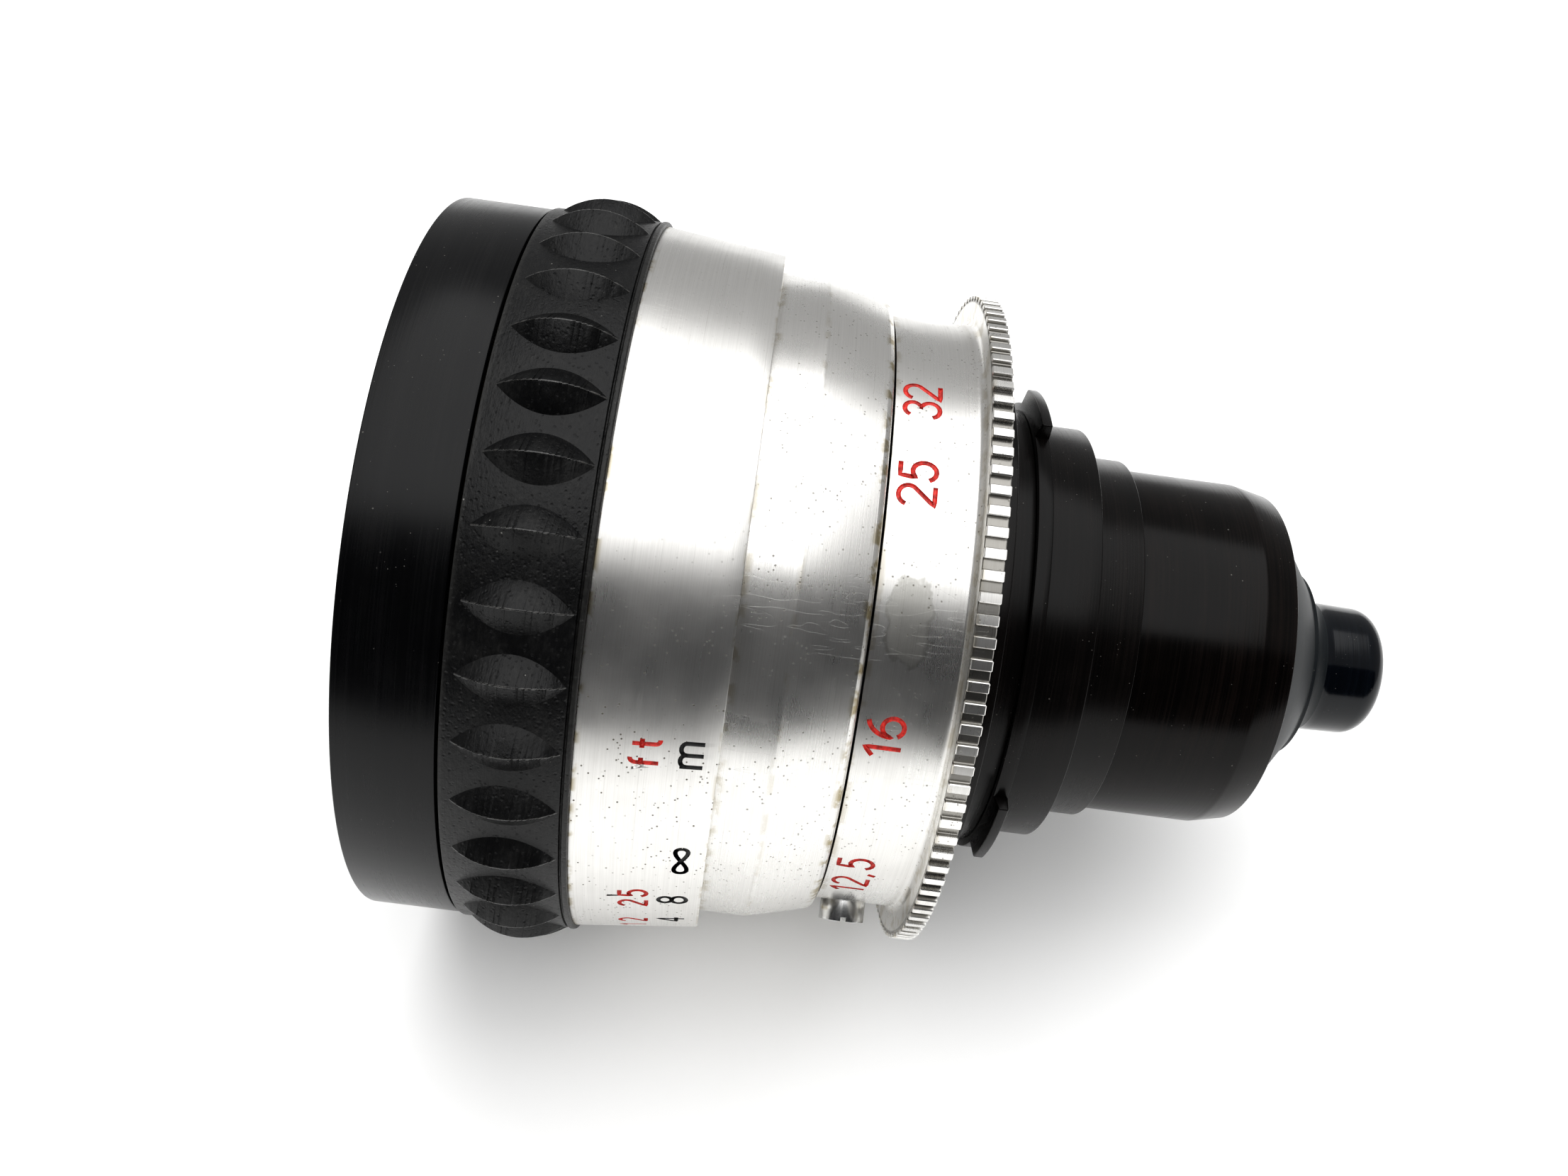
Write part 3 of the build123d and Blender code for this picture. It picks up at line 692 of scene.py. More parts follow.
class Engraver:
    """Cuts labels into a ring with a round-nosed tool.

    Attributes:
        RUN: longest straight run of the tool, as a share of a character's height.
        LIFT: how far the tool's centre stands off the ring, as a share of its width.
    """

    RUN = 0.12
    LIFT = 0.04

    def __init__(self, radius_at: Callable[[float], float], stroke: float) -> None:
        self.radius_at = radius_at
        self.stroke = stroke

    def _tool(self, name: str, labels: Iterable[Label]) -> bpy.types.Object:
        """Round rods along every stroke, as one closed solid for the cut."""
        curve = bpy.data.curves.new(name, "CURVE")
        curve.dimensions = "3D"
        curve.bevel_depth = self.stroke / 2 * MM
        curve.bevel_resolution = 2
        curve.use_fill_caps = True
        for label in labels:
            height = label.foot - label.top
            arc_length = math.radians(label.end - label.start) * self.radius_at((label.foot + label.top) / 2)
            widths = [GLYPHS[c].width * height for c in label.text]
            gap = (arc_length - sum(widths)) / max(1, len(widths) - 1)
            stretch = arc_length / widths[0] if len(widths) == 1 else 1.0
            across = 0.0
            for character, width in zip(label.text, widths):
                for stroke in GLYPHS[character].strokes:
                    self._rod(curve, label, stroke, across, height, stretch)
                across += width + gap
        rods = bpy.data.objects.new(name, curve)
        bpy.context.scene.collection.objects.link(rods)
        Bench.take(rods)
        bpy.ops.object.convert(target="MESH")
        bpy.ops.object.mode_set(mode="EDIT")
        bpy.ops.mesh.select_all(action="SELECT")
        bpy.ops.mesh.normals_make_consistent(inside=False)
        bpy.ops.object.mode_set(mode="OBJECT")
        return rods

    def _rod(
        self,
        curve: bpy.types.Curve,
        label: Label,
        stroke: Sequence[Point],
        across: float,
        height: float,
        stretch: float,
    ) -> None:
        """Lay one stroke on the ring.

        Args:
            curve: the curve that takes the stroke.
            label: the word it belongs to.
            stroke: its points in the character's own box.
            across: where the character starts along the word, in millimetres.
            height: height of the character, in millimetres.
            stretch: how much wider than drawn the character is.
        """
        spline = curve.splines.new("POLY")
        dense: list[Point] = [stroke[0]]
        for (x0, y0), (x1, y1) in zip(stroke, stroke[1:]):
            parts = max(1, round(math.hypot(x1 - x0, y1 - y0) / self.RUN))
            dense += [(x0 + (x1 - x0) * i / parts, y0 + (y1 - y0) * i / parts) for i in range(1, parts + 1)]
        spline.points.add(len(dense) - 1)
        for point, (x, y) in zip(spline.points, dense):
            station = label.foot - y * height
            radius = self.radius_at(station)
            clock = math.radians(label.start) + (across + x * height * stretch) / radius
            reach = radius + self.stroke * self.LIFT
            point.co = (reach * math.cos(clock) * MM, station * MM, reach * math.sin(clock) * MM, 1)

    def cut(self, ring: bpy.types.Object, labels: Sequence[Label]) -> None:
        """Cut the labels into a ring, each with its enamel."""
        for fill in dict.fromkeys(label.fill for label in labels):
            rods = self._tool(f"rods_{fill.name}", [label for label in labels if label.fill == fill])
            SHELF.dress(rods, fill)
            Bench.work(ring, rods, Cut.REMOVE, crossing=True)


def clock_of(seen: float) -> float:
    """Clock angle from the angle as seen by the camera, which stands at clock 45."""
    return seen + 45.0


# ---------------------------------------------------------------- front of the lens


@dataclass
class Hood:
    """Plain black hood with a conical mouth, and the cell and rings seen inside it."""

    wall: float = 0.9
    edge: float = 0.16
    clearance: float = 0.06
    shoulder: float = 0.8
    shoulder_depth: float = 1.5
    grooves: int = 7
    groove_tip: Point = (-0.16, 0.16)
    groove_root: tuple[Point, Point] = ((0.12, 0.05), (0.12, -0.1))
    ring_width: float = 1.2
    ring_bevel: float = 0.6
    slot_width: float = 2.0
    slot_depth: float = 0.8
    body: str = "carriage"

    def build(self) -> None:
        """Make the hood and the ring that holds the front glass."""
        span = Span.of("hood")
        cell = Span.of("front_cell")
        bore = cell.radius + self.clearance
        narrow = bore - self.shoulder
        step = cell.front + self.shoulder_depth
        mouth = span.radius - self.wall
        outline = [
            (mouth, span.front),
            (span.radius, span.front),
            (span.radius, span.rear),
            (narrow, span.rear),
            (narrow, step),
            (bore, step),
            (bore, cell.front),
        ]
        for i in range(self.grooves):
            share = (i + 0.5) / self.grooves
            radius = bore + (mouth - bore) * share
            station = cell.front + (span.front - cell.front) * share
            outline += [(radius + out, station + back) for out, back in (self.groove_tip, *self.groove_root)]
        hood = Bench.lathe("hood_shell", outline, 320)
        Bench.soften(hood, self.edge, 3)
        Bench.smooth(hood)
        SHELF.dress(hood, HOOD_BLACK)
        fit(hood, self.body, "hood_paint", "hood")
        self._retainer()

    def _retainer(self) -> None:
        """Make the slotted ring that holds the front glass."""
        span = Span.of("front_retaining_ring")
        inner = span.radius - self.ring_width
        outline = [
            (inner, span.front + self.ring_bevel),
            (span.radius, span.front),
            (span.radius, span.rear),
            (inner, span.rear),
        ]
        ring = Bench.lathe("front_glass_ring", outline, 256)
        Bench.take()
        bpy.ops.mesh.primitive_cube_add(size=1, location=(0, span.front * MM, 0))
        slot = Bench.name_active("ring_slot")
        slot.scale = (2.4 * span.radius * MM, 2 * self.slot_depth * MM, self.slot_width * MM)
        Bench.settle(slot)
        Bench.work(ring, slot, Cut.REMOVE)
        Bench.soften(ring, 0.08)
        Bench.smooth(ring)
        SHELF.dress(ring, INNER_BLACK)
        fit(ring, self.body, "inner_black", "front_retaining_ring")


@dataclass
class FocusGrip:
    """Black focus grip with roof-shaped lobes, each face part of a cylinder."""

    count: int = 38
    first: float = clock_of(4.09)
    ring_radius: float = 41.45
    length: float = 10.4
    width: float = 4.8
    height: float = 1.88
    wall: float = 2.3
    root: float = 0.5
    groove_depth: float = 0.28
    lip: float = 0.10
    body: str = "focus_ring"

    @staticmethod
    def finish() -> GripBlack:
        """The finish of the ring and of the lobes' faces."""
        span = Span.of("grip_ring")
        return GripBlack("grip_black", span.front, span.rear)

    def _lobe(self, middle: float) -> bpy.types.Object:
        """Make one lobe at clock 0 as what two cylinders share."""
        half = self.width / 2
        slope = math.hypot(half, self.height)
        rise = half * self.height / slope
        radius = ((self.length / 2) ** 2 + rise ** 2) / (2 * rise)
        sides = []
        for side in (1, -1):
            normal = Vector((half, 0, side * self.height)) / slope
            rulings = Vector((self.height, 0, -side * half)) / slope
            centre = Vector((self.ring_radius, middle, 0)) + normal * (rise - radius)
            Bench.take()
            bpy.ops.mesh.primitive_cylinder_add(
                vertices=224,
                radius=radius * MM,
                depth=9 * MM,
                location=centre * MM,
                rotation=rulings.to_track_quat("Z", "Y").to_euler(),
            )
            sides.append(Bench.settle(Bench.name_active(f"lobe_side_{side}")))
        lobe, other = sides
        Bench.work(lobe, other, Cut.KEEP_SHARED)
        Bench.take(lobe)
        bpy.ops.object.mode_set(mode="EDIT")
        bpy.ops.mesh.select_all(action="SELECT")
        bpy.ops.mesh.bisect(
            plane_co=((self.ring_radius - self.root) * MM, 0, 0),
            plane_no=(1, 0, 0),
            clear_inner=True,
            use_fill=True,
        )
        bpy.ops.object.mode_set(mode="OBJECT")
        lobe.data.materials.clear()
        for finish in (self.finish(), GRIP_EDGE_WEAR_AND_HIGHLIGHT):
            lobe.data.materials.append(SHELF.get(finish))
        # the rounded ridges take the lighter edge colour: wear plus a painted highlight
        Bench.soften(lobe, 0.11, 3, 25, finish_slot=1)
        return lobe

    def build(self) -> None:
        """Make the ring and its lobes."""
        span = Span.of("grip_ring")
        radius = self.ring_radius
        inner = radius - self.wall
        outline = [
            (inner, span.front),
            (radius, span.front),
            (radius, span.rear - 0.86),
            (radius - self.groove_depth, span.rear - 0.80),
            (radius - self.groove_depth, span.rear - 0.62),
            (radius + self.lip, span.rear - 0.56),
            (radius + self.lip, span.rear - 0.12),
            (radius - 0.05, span.rear),
            (inner, span.rear),
        ]
        ring = Bench.lathe("grip", outline, 456)
        Bench.soften(ring, 0.09, 2)
        SHELF.dress(ring, self.finish())
        middle = span.front + (span.rear - span.front) / 2
        lobe = self._lobe(middle)
        Bench.turn_to(lobe, self.first)
        Bench.repeat_round(lobe, self.count)
        grip = Bench.join([ring, lobe])
        Bench.smooth(grip)
        fit(grip, self.body, "grip_paint", "grip_ring")


@dataclass
class FocusScale:
    """Conical aluminium ring with the distances in feet over the distances in metres."""

    front_radius: float = 41.05
    rear_radius: float = 39.66
    bore: float = 37.9
    bands: int = 5
    stroke: float = 0.48
    infinity: float = -43.0
    per_dioptre: float = 85.0
    body: str = "focus_ring"
    feet: dict[str, float] = field(default_factory=lambda: {"6": 6, "4": 4, "3": 3, "2": 2})
    metres: dict[str, float] = field(default_factory=lambda: {"2": 2, "1": 1, "0,7": 0.7, "0,5": 0.5})

    def _labels(self, front: float) -> list[Label]:
        """The engraved words and figures."""
        feet, metres = (front + 5.20, front + 7.95), (front + 9.2, front + 12.05)
        labels = [
            Label("ft", clock_of(-25.5), clock_of(-21.0), front + 5.25, front + 7.95),
            Label("25", clock_of(-57.3), clock_of(-51.5), *feet),
            Label("12", clock_of(-70.9), clock_of(-64.2), *feet),
            Label("m", clock_of(-25.1), clock_of(-21.3), front + 9.9, front + 12.1, BLACK),
            Label("∞", clock_of(-46.0), clock_of(-40.2), front + 9.0, front + 12.2, BLACK),
            Label("8", clock_of(-55.8), clock_of(-53.4), *metres, BLACK),
            Label("4", clock_of(-66.0), clock_of(-63.3), *metres, BLACK),
        ]
        for row, scale, stations, fill in ((self.feet, 0.3048, feet, RED), (self.metres, 1.0, metres, BLACK)):
            for text, distance in row.items():
                middle = clock_of(self.infinity - self.per_dioptre / (distance * scale))
                half = 1.15 + 1.15 * max(0, len(text) - 1)
                labels.append(Label(text, middle - half, middle + half, *stations, fill))
        return labels

    def build(self) -> None:
        """Make the scale ring."""
        span = Span.of("scale_ring")
        slope = (self.rear_radius - self.front_radius) / (span.rear - span.front)

        def radius_at(station: float) -> float:
            """Outer radius of the cone at a station."""
            return self.front_radius + slope * (station - span.front)

        outline = [(self.bore, span.front), (self.front_radius, span.front)]
        for i in range(1, self.bands):
            station = span.front + (span.rear - span.front) * i / self.bands
            outline.append((radius_at(station), station))
        outline += [(self.rear_radius, span.rear), (self.bore, span.rear)]
        ring = Bench.lathe("distance_ring", outline, 720)
        Bench.soften(ring, 0.07, 2)
        finish = BareAluminium(
            "distance_aluminium", roughness=0.32, grime_at=((span.front, 0.7, 0.8), (span.rear, 0.35, 0.4)),
            pitting=1.2, worn_clock=clock_of(-38),
        )
        SHELF.dress(ring, finish)
        Engraver(radius_at, self.stroke).cut(ring, self._labels(span.front))
        Bench.smooth(ring)
        fit(ring, self.body, "bare_aluminium", "scale_ring")


@dataclass
class FixedBarrel:
    """Aluminium barrel between the two turning rings: a straight part, a knee and a taper."""

    taper: float = 7.25
    rear_radius: float = 36.0
    rear_edge: float = 0.55
    bore: float = 33.2
    skirt_bore: float = 34.6
    skirt: float = 0.6
    covered: float = 7.4
    index_clock: float = clock_of(-95)
    body: str = "fixed"

    def build(self) -> None:
        """Make the barrel with its index line."""
        span = Span.of("fixed_barrel")
        cover = Span.of("scale_ring")
        knee = span.rear - self.taper
        shoulder = cover.rear - self.covered
        outline = [(self.bore, shoulder), (span.radius, shoulder), (span.radius, knee)]
        outline.append((self.rear_radius + 0.12, span.rear - self.rear_edge))
        for i in range(1, 5):
            angle = math.radians(90 * i / 4)
            outline.append((
                self.rear_radius - self.rear_edge * (1 - math.cos(angle)),
                span.rear - self.rear_edge * (1 - math.sin(angle)),
            ))
        outline += [
            (self.skirt_bore, span.rear),
            (self.skirt_bore, span.rear - self.skirt),
            (self.bore, span.rear - self.skirt),
        ]
        barrel = Bench.lathe("fixed_barrel_shell", outline, 480)
        Bench.soften(barrel, 0.25, 3, 12)
        Bench.smooth(barrel)
        finish = BareAluminium(
            "barrel_aluminium",
            roughness=0.29,
            grime_at=((cover.rear + 0.2, 0.8, 0.4), (knee, 0.5, 0.25), (span.rear - 0.3, 0.9, 0.9)),
            pitting=0.7,
        )
        SHELF.dress(barrel, finish)
        line = Label("|", self.index_clock, self.index_clock + 0.1, cover.rear + 0.3, knee - 0.3)
        Engraver(lambda station: span.radius, 0.40).cut(barrel, [line])
        fit(barrel, self.body, "bare_aluminium", "fixed_barrel")


@dataclass
class ApertureRing:
    """Aluminium ring with red stops, a hollow corner and a flange toothed all round."""

    plain_radius: float = 34.68
    flange_width: float = 2.14
    hollow: float = 0.8
    teeth: int = 113
    tooth_depth: float = 0.55
    tooth_clock: float = clock_of(16.7)
    stroke: float = 0.52
    bore: float = 29.6
    wall: float = 2.0
    bands: int = 4
    knob_radius: float = 2.6
    knob_length: float = 2.8
    knob_middle: float = 35.6
    knob_slot: tuple[float, float] = (0.9, 0.6)
    body: str = "aperture"

    def _toothed_rim(self, span: Span) -> bpy.types.Object:
        """Make the flange with its teeth."""
        root = span.radius - self.tooth_depth
        front = span.rear - self.flange_width
        inner = self.plain_radius - self.wall
        outline = [(inner, front), (root, front), (root, span.rear), (inner, span.rear)]
        steps = self.teeth * 6
        rim = Bench.lathe("toothed_rim", outline, steps)
        Bench.take(rim)
        bpy.ops.object.mode_set(mode="EDIT")
        bpy.ops.mesh.select_mode(type="FACE")
        bpy.ops.mesh.select_all(action="DESELECT")
        mesh = bmesh.from_edit_mesh(rim.data)
        for face in mesh.faces:
            middle = face.calc_center_median()
            outer = math.hypot(middle.x, middle.z) > (root - 0.1) * MM and abs(face.normal.y) < 0.5
            turn = math.atan2(middle.z, middle.x) / math.tau * self.teeth
            face.select_set(outer and (turn % 1.0) < 0.5)
        bmesh.update_edit_mesh(rim.data)
        bpy.ops.mesh.extrude_region_shrink_fatten(
            TRANSFORM_OT_shrink_fatten={"value": self.tooth_depth * MM, "use_even_offset": True}
        )
        bpy.ops.object.mode_set(mode="OBJECT")
        Bench.turn_to(rim, self.tooth_clock - 0.25 * 360 / self.teeth)
        Bench.soften(rim, 0.09, 1, 40)
        return rim

    def build(self) -> None:
        """Make the ring, its teeth and its figures."""
        span = Span.of("aperture_ring")
        low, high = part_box("aperture_ring")
        span = Span(span.front, span.rear, max(high.x, high.z) / MM)
        flange = span.rear - self.flange_width
        radius = self.plain_radius
        outline = [(self.bore, span.front), (radius, span.front)]
        for i in range(1, self.bands):
            outline.append((radius, span.front + (flange - self.hollow - span.front) * i / self.bands))
        for i in range(7):
            angle = math.radians(15 * i)
            outline.append((
                radius + self.hollow * (1 - math.cos(angle)),
                flange - self.hollow * (1 - math.sin(angle)),
            ))
        outline += [(radius + self.hollow, flange + 0.3), (self.bore, flange + 0.3)]
        ring = Bench.lathe("stop_ring", outline, 720)
        Bench.soften(ring, 0.10, 2)
        finish = BareAluminium(
            "stop_aluminium",
            grime_at=((span.front + 0.2, 0.6, 0.35), (flange, 0.6, 0.4)),
            stain_clock=clock_of(-1.0),
            stain_station=span.front + 3.4,
            pitting=0.7,
            # the floor of the tooth gaps gets painted shade
            shaded_gap_radius=span.radius - self.tooth_depth,
        )
        SHELF.dress(ring, finish)
        top, foot = span.front + 1.0, span.front + 4.6
        stops = [
            ("32", 34.9, 42.3), ("25", 17.9, 25.6), ("16", -23.9, -17.0), ("12,5", -62.8, -48.6),
            ("8", -119.6, -116.4), ("5,6", -169.5, -161.0),
        ]
        labels = [Label(text, clock_of(start), clock_of(end), top, foot) for text, start, end in stops]
        Engraver(lambda station: radius, self.stroke).cut(ring, labels)
        rim = self._toothed_rim(span)
        SHELF.dress(rim, finish)
        whole = Bench.join([ring, rim])
        Bench.smooth(whole)
        fit(whole, self.body, "bare_aluminium", "aperture_ring")
        self._knob()

    def _knob(self) -> None:
        """Make the small slotted screw head that turns the ring."""
        low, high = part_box("aperture_knob")
        clock = math.degrees(math.atan2((low.z + high.z) / 2, (low.x + high.x) / 2))
        middle = (low.y + high.y) / 2
        Bench.take()
        bpy.ops.mesh.primitive_cylinder_add(
            vertices=96,
            radius=self.knob_radius * MM,
            depth=self.knob_length * MM,
            location=(self.knob_middle * MM, middle, 0),
            rotation=(0, math.pi / 2, 0),
        )
        knob = Bench.settle(Bench.name_active("stop_knob"))
        face = self.knob_middle + self.knob_length / 2
        depth, width = self.knob_slot
        bpy.ops.mesh.primitive_cube_add(size=1, location=(face * MM, middle, 0))
        slot = Bench.name_active("knob_slot")
        slot.scale = (depth * MM, width * MM, 4 * self.knob_radius * MM)
        Bench.settle(slot)
        Bench.work(knob, slot, Cut.REMOVE)
        Bench.soften(knob, 0.22, 4)
        Bench.turn_to(knob, clock)
        Bench.smooth(knob)
        SHELF.dress(knob, STEEL)
        fit(knob, self.body, "screw_steel", "aperture_knob")


# ---------------------------------------------------------------- rear of the lens


@dataclass
class Mount:
    """Black flange, neck and the ring with three bayonet lugs."""

    neck_radius: float = 25.9
    lug_ring_radius: float = 26.8
    lug_radius: float = 28.45
    lug_sweep: float = 26.0
    lug_clocks: tuple[float, ...] = (109.5, -10.5, -130.5)
    bore: float = 23.1
    lug_bore: float = 24.6
    plate_thick: float = 2.2
    body: str = "fixed"

    def build(self) -> None:
        """Make the flange and the lug ring."""
        flange = Span.of("mount_flange")
        seat = 0.0
        front = seat - self.plate_thick
        lugs = Span.of("lug_ring")
        outline = [
            (self.bore, front),
            (flange.radius, front),
            (flange.radius, seat),
            (self.neck_radius, seat),
            (self.neck_radius, lugs.front),
            (self.bore, lugs.front),
        ]
        plate = Bench.lathe("mount_plate", outline, 320)
        Bench.soften(plate, 0.14, 3)
        Bench.smooth(plate)
        SHELF.dress(plate, MOUNT_BLACK)
        fit(plate, self.body, "black_anodised", "mount_flange")
        self._lugs(lugs)

    def _lugs(self, span: Span) -> None:
        """Make the ring of lugs from a full ring, with what lies between the lugs turned away."""
        outline = [
            (self.lug_bore, span.front),
            (self.lug_ring_radius, span.front),
            (self.lug_ring_radius, span.rear),
            (self.lug_bore, span.rear),
        ]
        base = Bench.lathe("lug_ring_shell", outline, 320)
        Bench.soften(base, 0.12, 2)
        pieces = [base]
        full = [
            (self.lug_ring_radius - 1.2, span.front + 0.02),
            (self.lug_ring_radius, span.front + 0.02),
            (self.lug_radius, span.front + 0.5),
            (self.lug_radius, span.rear),
            (self.lug_ring_radius - 1.2, span.rear - 0.01),
        ]
        for index, clock in enumerate(self.lug_clocks):
            lug = Bench.lathe(f"lug_{index + 1}", full, 360)
            Bench.take(lug)
            bpy.ops.object.mode_set(mode="EDIT")
            for edge, side in ((clock + self.lug_sweep / 2, 1), (clock - self.lug_sweep / 2, -1)):
                turn = math.radians(edge)
                normal = (-math.sin(turn) * side, 0, math.cos(turn) * side)
                bpy.ops.mesh.select_all(action="SELECT")
                bpy.ops.mesh.bisect(plane_co=(0, 0, 0), plane_no=normal, clear_outer=True, use_fill=True)
            middle = math.radians(clock)
            bpy.ops.mesh.select_all(action="SELECT")
            bpy.ops.mesh.bisect(
                plane_co=(0, 0, 0), plane_no=(math.cos(middle), 0, math.sin(middle)), clear_inner=True
            )
            bpy.ops.object.mode_set(mode="OBJECT")
            Bench.soften(lug, 0.16, 3)
            pieces.append(lug)
        ring = Bench.join(pieces)
        Bench.smooth(ring)
        SHELF.dress(ring, MOUNT_BLACK)
        fit(ring, self.body, "black_anodised", "lug_ring")


@dataclass
class RearBarrels:
    """Two black steps, the long sleeve, and the cone that ends in a rounded nub."""

    step_bore: float = 19.1
    step_one: float = 24.55
    step_two: float = 21.5
    step_two_length: float = 5.5
    sleeve_bore: float = 17.6
    sleeve: float = 20.5
    sleeve_end: float = 19.7
    chamfer: float = 3.7
    cone_front: float = 18.6
    cone_rear: float = 11.3
    cone_length: float = 5.6
    land: float = 0.5
    nub: float = 7.75
    nub_length: float = 4.1
    nub_round: float = 2.7
    nub_end: float = 4.9
    opening: float = 3.7
    body: str = "fixed"

    def build(self) -> None:
        """Make the three black pieces."""
        lugs = Span.of("lug_ring")
        stepped = Span.of("rear_barrel")
        sleeve = Span.of("rear_sleeve")
        between = stepped.rear - self.step_two_length
        outline = [
            (self.step_bore, lugs.rear),
            (self.step_one, lugs.rear),
            (self.step_one, between),
            (self.step_two, between),
            (self.step_two, stepped.rear),
            (self.step_bore, stepped.rear),
        ]
        steps = Bench.lathe("rear_steps", outline, 320)
        Bench.soften(steps, 0.13, 3)
        Bench.smooth(steps)
        SHELF.dress(steps, MOUNT_BLACK)
        fit(steps, self.body, "black_anodised", "rear_barrel")
        outline = [
            (self.sleeve_bore, stepped.rear),
            (self.sleeve, stepped.rear),
            (self.sleeve, sleeve.rear - self.chamfer),
            (self.sleeve_end, sleeve.rear),
            (self.sleeve_bore, sleeve.rear),
        ]
        tube = Bench.lathe("rear_tube", outline, 320)
        Bench.soften(tube, 0.15, 3, 8)
        Bench.smooth(tube)
        SHELF.dress(tube, SLEEVE_BLACK)
        fit(tube, self.body, "black_anodised", "rear_sleeve")
        self._nub(sleeve.rear, Span.of("rear_cell").rear)

    def _nub(self, front: float, rear: float) -> None:
        """Make the cone, the hollow curve behind it, and the nub."""
        land_end = front + self.cone_length + self.land
        curve = self.cone_rear - self.nub
        outline = [
            (self.opening + 2, front),
            (self.cone_front, front),
            (self.cone_rear, front + self.cone_length),
            (self.cone_rear - 0.12, front + self.cone_length + 0.1),
            (self.cone_rear - 0.12, land_end),
        ]
        for i in range(1, 13):
            angle = math.radians(90 * i / 12)
            outline.append((
                self.cone_rear - curve * math.sin(angle),
                land_end + curve * (1 - math.cos(angle)),
            ))
        straight = rear - self.nub_round
        outline.append((self.nub - 0.1, straight))
        for i in range(1, 10):
            angle = math.radians(10 * i)
            outline.append((
                self.nub_end + (self.nub - 0.1 - self.nub_end) * math.cos(angle),
                straight + self.nub_round * math.sin(angle),
            ))
        outline += [
            (self.opening + 0.4, rear),
            (self.opening, rear - 0.4),
            (self.opening, rear - 2.6),
            (self.opening + 2, rear - 2.6),
        ]
        nub = Bench.lathe("rear_nub", outline, 256)
        Bench.soften(nub, 0.08, 2)
        Bench.smooth(nub)
        nub.data.materials.clear()
        for finish in (NUB_BLACK, CONE_BLACK):
            nub.data.materials.append(SHELF.get(finish))
        limit = (land_end + curve * 0.8) * MM
        for face in nub.data.polygons:
            face.material_index = 1 if face.center.y < limit else 0
        fit(nub, self.body, "nub_black", "rear_cell")


# ---------------------------------------------------------------- inside


@dataclass(frozen=True)
class Element:
    """One lens element with two spherical faces.

    Attributes:
        node: the CAD node it stands for.
        body: the body it rides on.
        thick: thickness on the axis, in millimetres.
        front: radius of the front face, positive when its centre is behind it.
        rear: radius of the rear face.
    """

    node: str
    body: str
    thick: float
    front: float
    rear: float

    RINGS = 20
    CENTRE = 0.0001

    @staticmethod
    def _sag(radius: float, height: float) -> float:
        """Depth of a face at a height from the axis."""
        depth = abs(radius) - math.sqrt(radius ** 2 - height ** 2)
        return math.copysign(depth, radius)

    def build(self) -> None:
        """Turn the element smooth, with ground edges."""
        span = Span.of(self.node)
        vertex = span.front - min(0.0, self._sag(self.front, span.radius))
        heights = [span.radius * i / self.RINGS for i in range(self.RINGS + 1)]
        outline = [(max(height, self.CENTRE), vertex + self._sag(self.front, height)) for height in heights]
        back = vertex + self.thick
        for height in reversed(heights):
            outline.append((max(height, self.CENTRE), back + self._sag(self.rear, height)))
        glass = Bench.lathe(f"{self.node}_disc", outline, 192)
        Bench.soften(glass, 0.12, 2, 40)
        Bench.smooth(glass)
        SHELF.dress(glass, GLASS)
        fit(glass, self.body, "optical_glass", self.node)


class InnerWorks:
    """Cells, threads and blades that stay as the frame holds them, and the glasses."""

    FINISHES = {
        "front_cell": INNER_BLACK, "inner_front_cell": INNER_BLACK, "second_retaining_ring": INNER_BLACK,
        "focus_retainer": INNER_BLACK, "core_tube": INNER_BLACK, "iris_base": INNER_BLACK,
        "iris_cover": INNER_BLACK, "middle_cell": INNER_BLACK, "rear_lens_tube": INNER_BLACK,
        "fifth_retaining_ring": INNER_BLACK, "sixth_retaining_ring": INNER_BLACK, "rear_spacer": INNER_BLACK,
        "front_carriage": BRASS, "focus_nut": BRASS, "focus_screws": STEEL, "key_screw": STEEL,
        "drive_screw": STEEL, "iris_cam_ring": BLADE_BLACK,
    }
    GLASSES = (
        Element("front_glass", "carriage", 2.6, 90.0, 52.0),
        Element("second_glass", "carriage", 2.2, 60.0, 30.0),
        Element("third_glass", "carriage", 5.0, 34.0, -60.0),
        Element("fourth_glass", "fixed", 4.5, 40.0, -45.0),
        Element("fifth_glass", "fixed", 5.5, 30.0, -24.0),
        Element("sixth_glass", "fixed", 3.0, -26.0, 60.0),
        Element("rear_glass", "fixed", 2.6, 22.0, -30.0),
    )

    def dress(self) -> None:
        """Give every node that stays its finish and make the glasses."""
        nodes = frame["nodes"]
        for name, finish in self.FINISHES.items():
            SHELF.dress(nodes[name], finish)
        for i in range(6):
            SHELF.dress(nodes[f"blade_{i + 1}"], BLADE_BLACK)
        for element in self.GLASSES:
            element.build()


# ---------------------------------------------------------------- studio


@dataclass(frozen=True)
class SoftLight:
    """One soft panel that faces the lens.

    Attributes:
        name: the light's name.
        place: where it hangs, in metres.
        size: its two sides, in metres.
        power: its power in watts.
        mirrored: whether polished surfaces show it.
    """

    name: str
    place: tuple[float, float, float]
    size: tuple[float, float]
    power: float
    mirrored: bool = True

    def hang(self) -> None:
        """Add the panel to the scene."""
        data = bpy.data.lights.new(self.name, "AREA")
        data.shape = "RECTANGLE"
        data.size, data.size_y = self.size
        data.energy = self.power
        light = bpy.data.objects.new(self.name, data)
        light.visible_glossy = self.mirrored
        place = Vector(self.place)
        target = Vector((0, -0.02, 0))
        turn = (place - target).to_track_quat("Z", "Y").to_matrix().to_4x4()
        light.matrix_world = Matrix.Translation(place) @ turn
        bpy.context.scene.collection.objects.link(light)


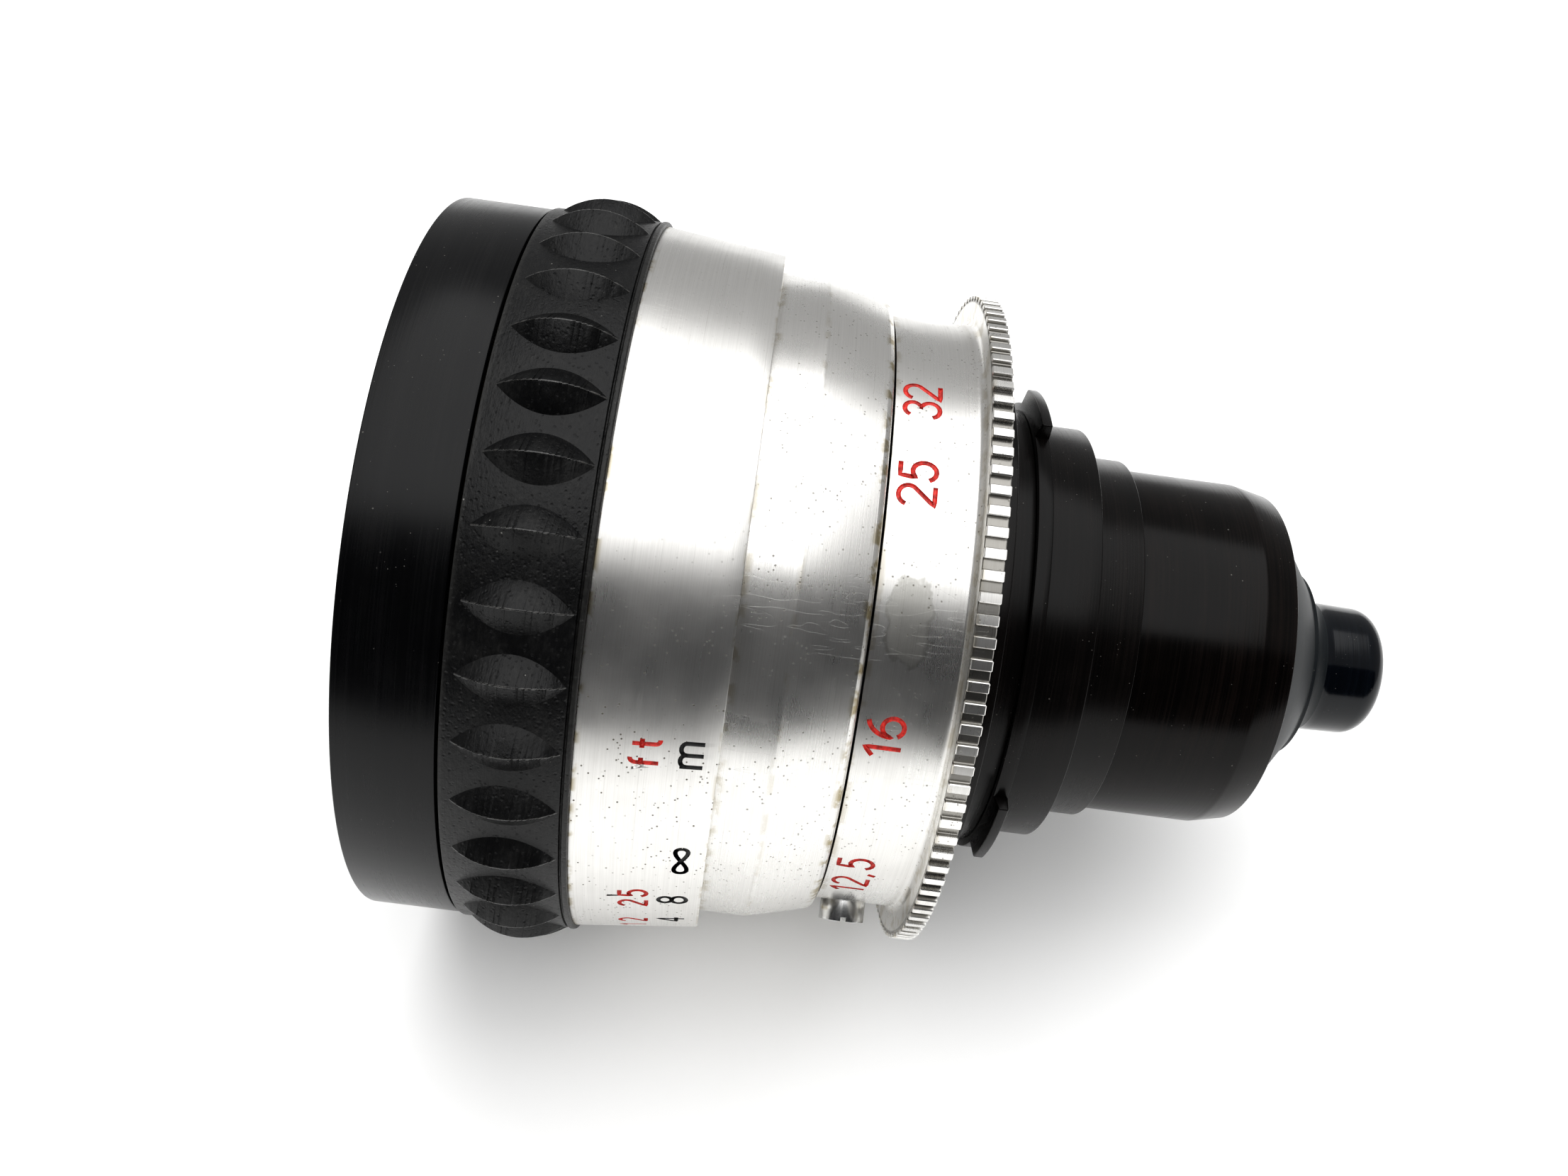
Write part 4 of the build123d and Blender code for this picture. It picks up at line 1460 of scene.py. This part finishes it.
@dataclass
class Studio:
    """Pale floor, soft light and the camera."""

    floor_tilt: float = 6.6
    roll: float = 7.552
    swing: float = 1.688
    eye: tuple[float, float, float] = (115.33, -26.47, 116.77)
    focal: float = 31.18
    card_clocks: tuple[float, float] = (-4.0, 53.0)
    card_distance: float = 0.36
    room: float = 0.36
    lights_at: tuple[SoftLight, ...] = (
        SoftLight("panel_over", (0.13, -0.05, 0.70), (0.95, 1.5), 5.8),
        SoftLight("panel_back", (-0.45, -0.05, 0.70), (1.2, 1.5), 5.2, mirrored=False),
        SoftLight("panel_front", (0.60, -0.05, 0.70), (1.2, 1.5), 1.8, mirrored=False),
    )

    def _frame_axes(self) -> tuple[Vector, Vector, Vector]:
        """Right, up and back directions of the camera, which stands at clock 45."""
        toward = Vector((math.sqrt(0.5), 0, math.sqrt(0.5)))
        upward = Vector((-math.sqrt(0.5), 0, math.sqrt(0.5)))
        axis = Vector(AXIS)
        swing, roll = math.radians(self.swing), math.radians(self.roll)
        level = axis * math.cos(swing) + toward * math.sin(swing)
        back = toward * math.cos(swing) - axis * math.sin(swing)
        right = level * math.cos(roll) + upward * math.sin(roll)
        up = upward * math.cos(roll) - level * math.sin(roll)
        return right, up, back

    def camera(self) -> None:
        """Set the camera."""
        right, up, back = self._frame_axes()
        data = bpy.data.cameras.new("camera")
        data.lens = self.focal
        data.sensor_width = 36
        data.clip_start = 0.005
        camera = bpy.data.objects.new("camera", data)
        turn = Matrix((right, up, back)).transposed().to_4x4()
        camera.matrix_world = Matrix.Translation(Vector(self.eye) * MM) @ turn
        bpy.context.scene.collection.objects.link(camera)
        bpy.context.scene.camera = camera

    def floor(self) -> None:
        """Lay the floor so that the lens rests on the grip and on the toothed ring."""
        Bench.take()
        bpy.ops.mesh.primitive_grid_add(x_subdivisions=8, y_subdivisions=8, size=6)
        floor = Bench.name_active("floor")
        grip = Span.of("grip_ring")
        touch = Vector((0, (grip.front + grip.rear) / 2, -grip.radius - 0.15)) * MM
        tilt = Matrix.Rotation(math.radians(self.floor_tilt), 4, "X")
        floor.data.transform(Matrix.Translation(touch) @ tilt)
        paint = Paint("floor_white")
        cloud = paint.noise(3, 3, 2.0)
        paint.feed(
            Base_Color=paint.blend(cloud, (0.95, 0.95, 0.945), (0.93, 0.93, 0.925)), Roughness=0.75,
            Specular_IOR_Level=0.2,
        )
        floor.data.materials.append(paint.material)

    def lights(self) -> None:
        """Set the white surroundings, the panels and the dark card behind the camera."""
        world = bpy.data.worlds.new("white_room")
        bpy.context.scene.world = world
        world.use_nodes = True
        world.node_tree.nodes["Background"].inputs["Color"].default_value = (1.0, 1.0, 1.0, 1.0)
        world.node_tree.nodes["Background"].inputs["Strength"].default_value = self.room
        for light in self.lights_at:
            light.hang()
        self._card()

    def _card(self) -> None:
        """Hang a dark card behind the camera, seen only in reflections."""
        Bench.take()
        bpy.ops.mesh.primitive_grid_add(x_subdivisions=4, y_subdivisions=4, size=1)
        card = Bench.name_active("dark_card")
        low, high = (math.radians(edge) for edge in self.card_clocks)
        middle = (low + high) / 2
        outward = Vector((math.cos(middle), 0, math.sin(middle)))
        height = 2 * self.card_distance * math.tan((high - low) / 2)
        turn = Matrix((Vector(AXIS), outward.cross(Vector(AXIS)), outward)).transposed().to_4x4()
        size = Matrix.Diagonal((1.6, height, 1, 1))
        card.data.transform(Matrix.Translation(outward * self.card_distance) @ turn @ size)
        paint = Paint("card_black")
        paint.feed(Base_Color=(0.02, 0.02, 0.022), Roughness=0.9, Specular_IOR_Level=0.0)
        card.data.materials.append(paint.material)
        card.visible_camera = False
        card.visible_diffuse = False
        card.visible_shadow = False
        card.visible_transmission = False

    def build(self) -> None:
        """Set up the whole studio."""
        bpy.context.scene.view_settings.view_transform = "Standard"
        bpy.context.scene.view_settings.look = "Medium High Contrast"
        self.camera()
        self.floor()
        self.lights()


def main() -> None:
    """Build the lens and its studio."""
    logging.basicConfig(level=logging.INFO, format="%(relativeCreated)d %(message)s")
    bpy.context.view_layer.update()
    InnerWorks().dress()
    for part in (Hood(), FocusGrip(), FocusScale(), FixedBarrel(), ApertureRing(), Mount(), RearBarrels()):
        part.build()
        log.info("built %s", type(part).__name__)
    Studio().build()


if __name__ == "__main__":
    main()
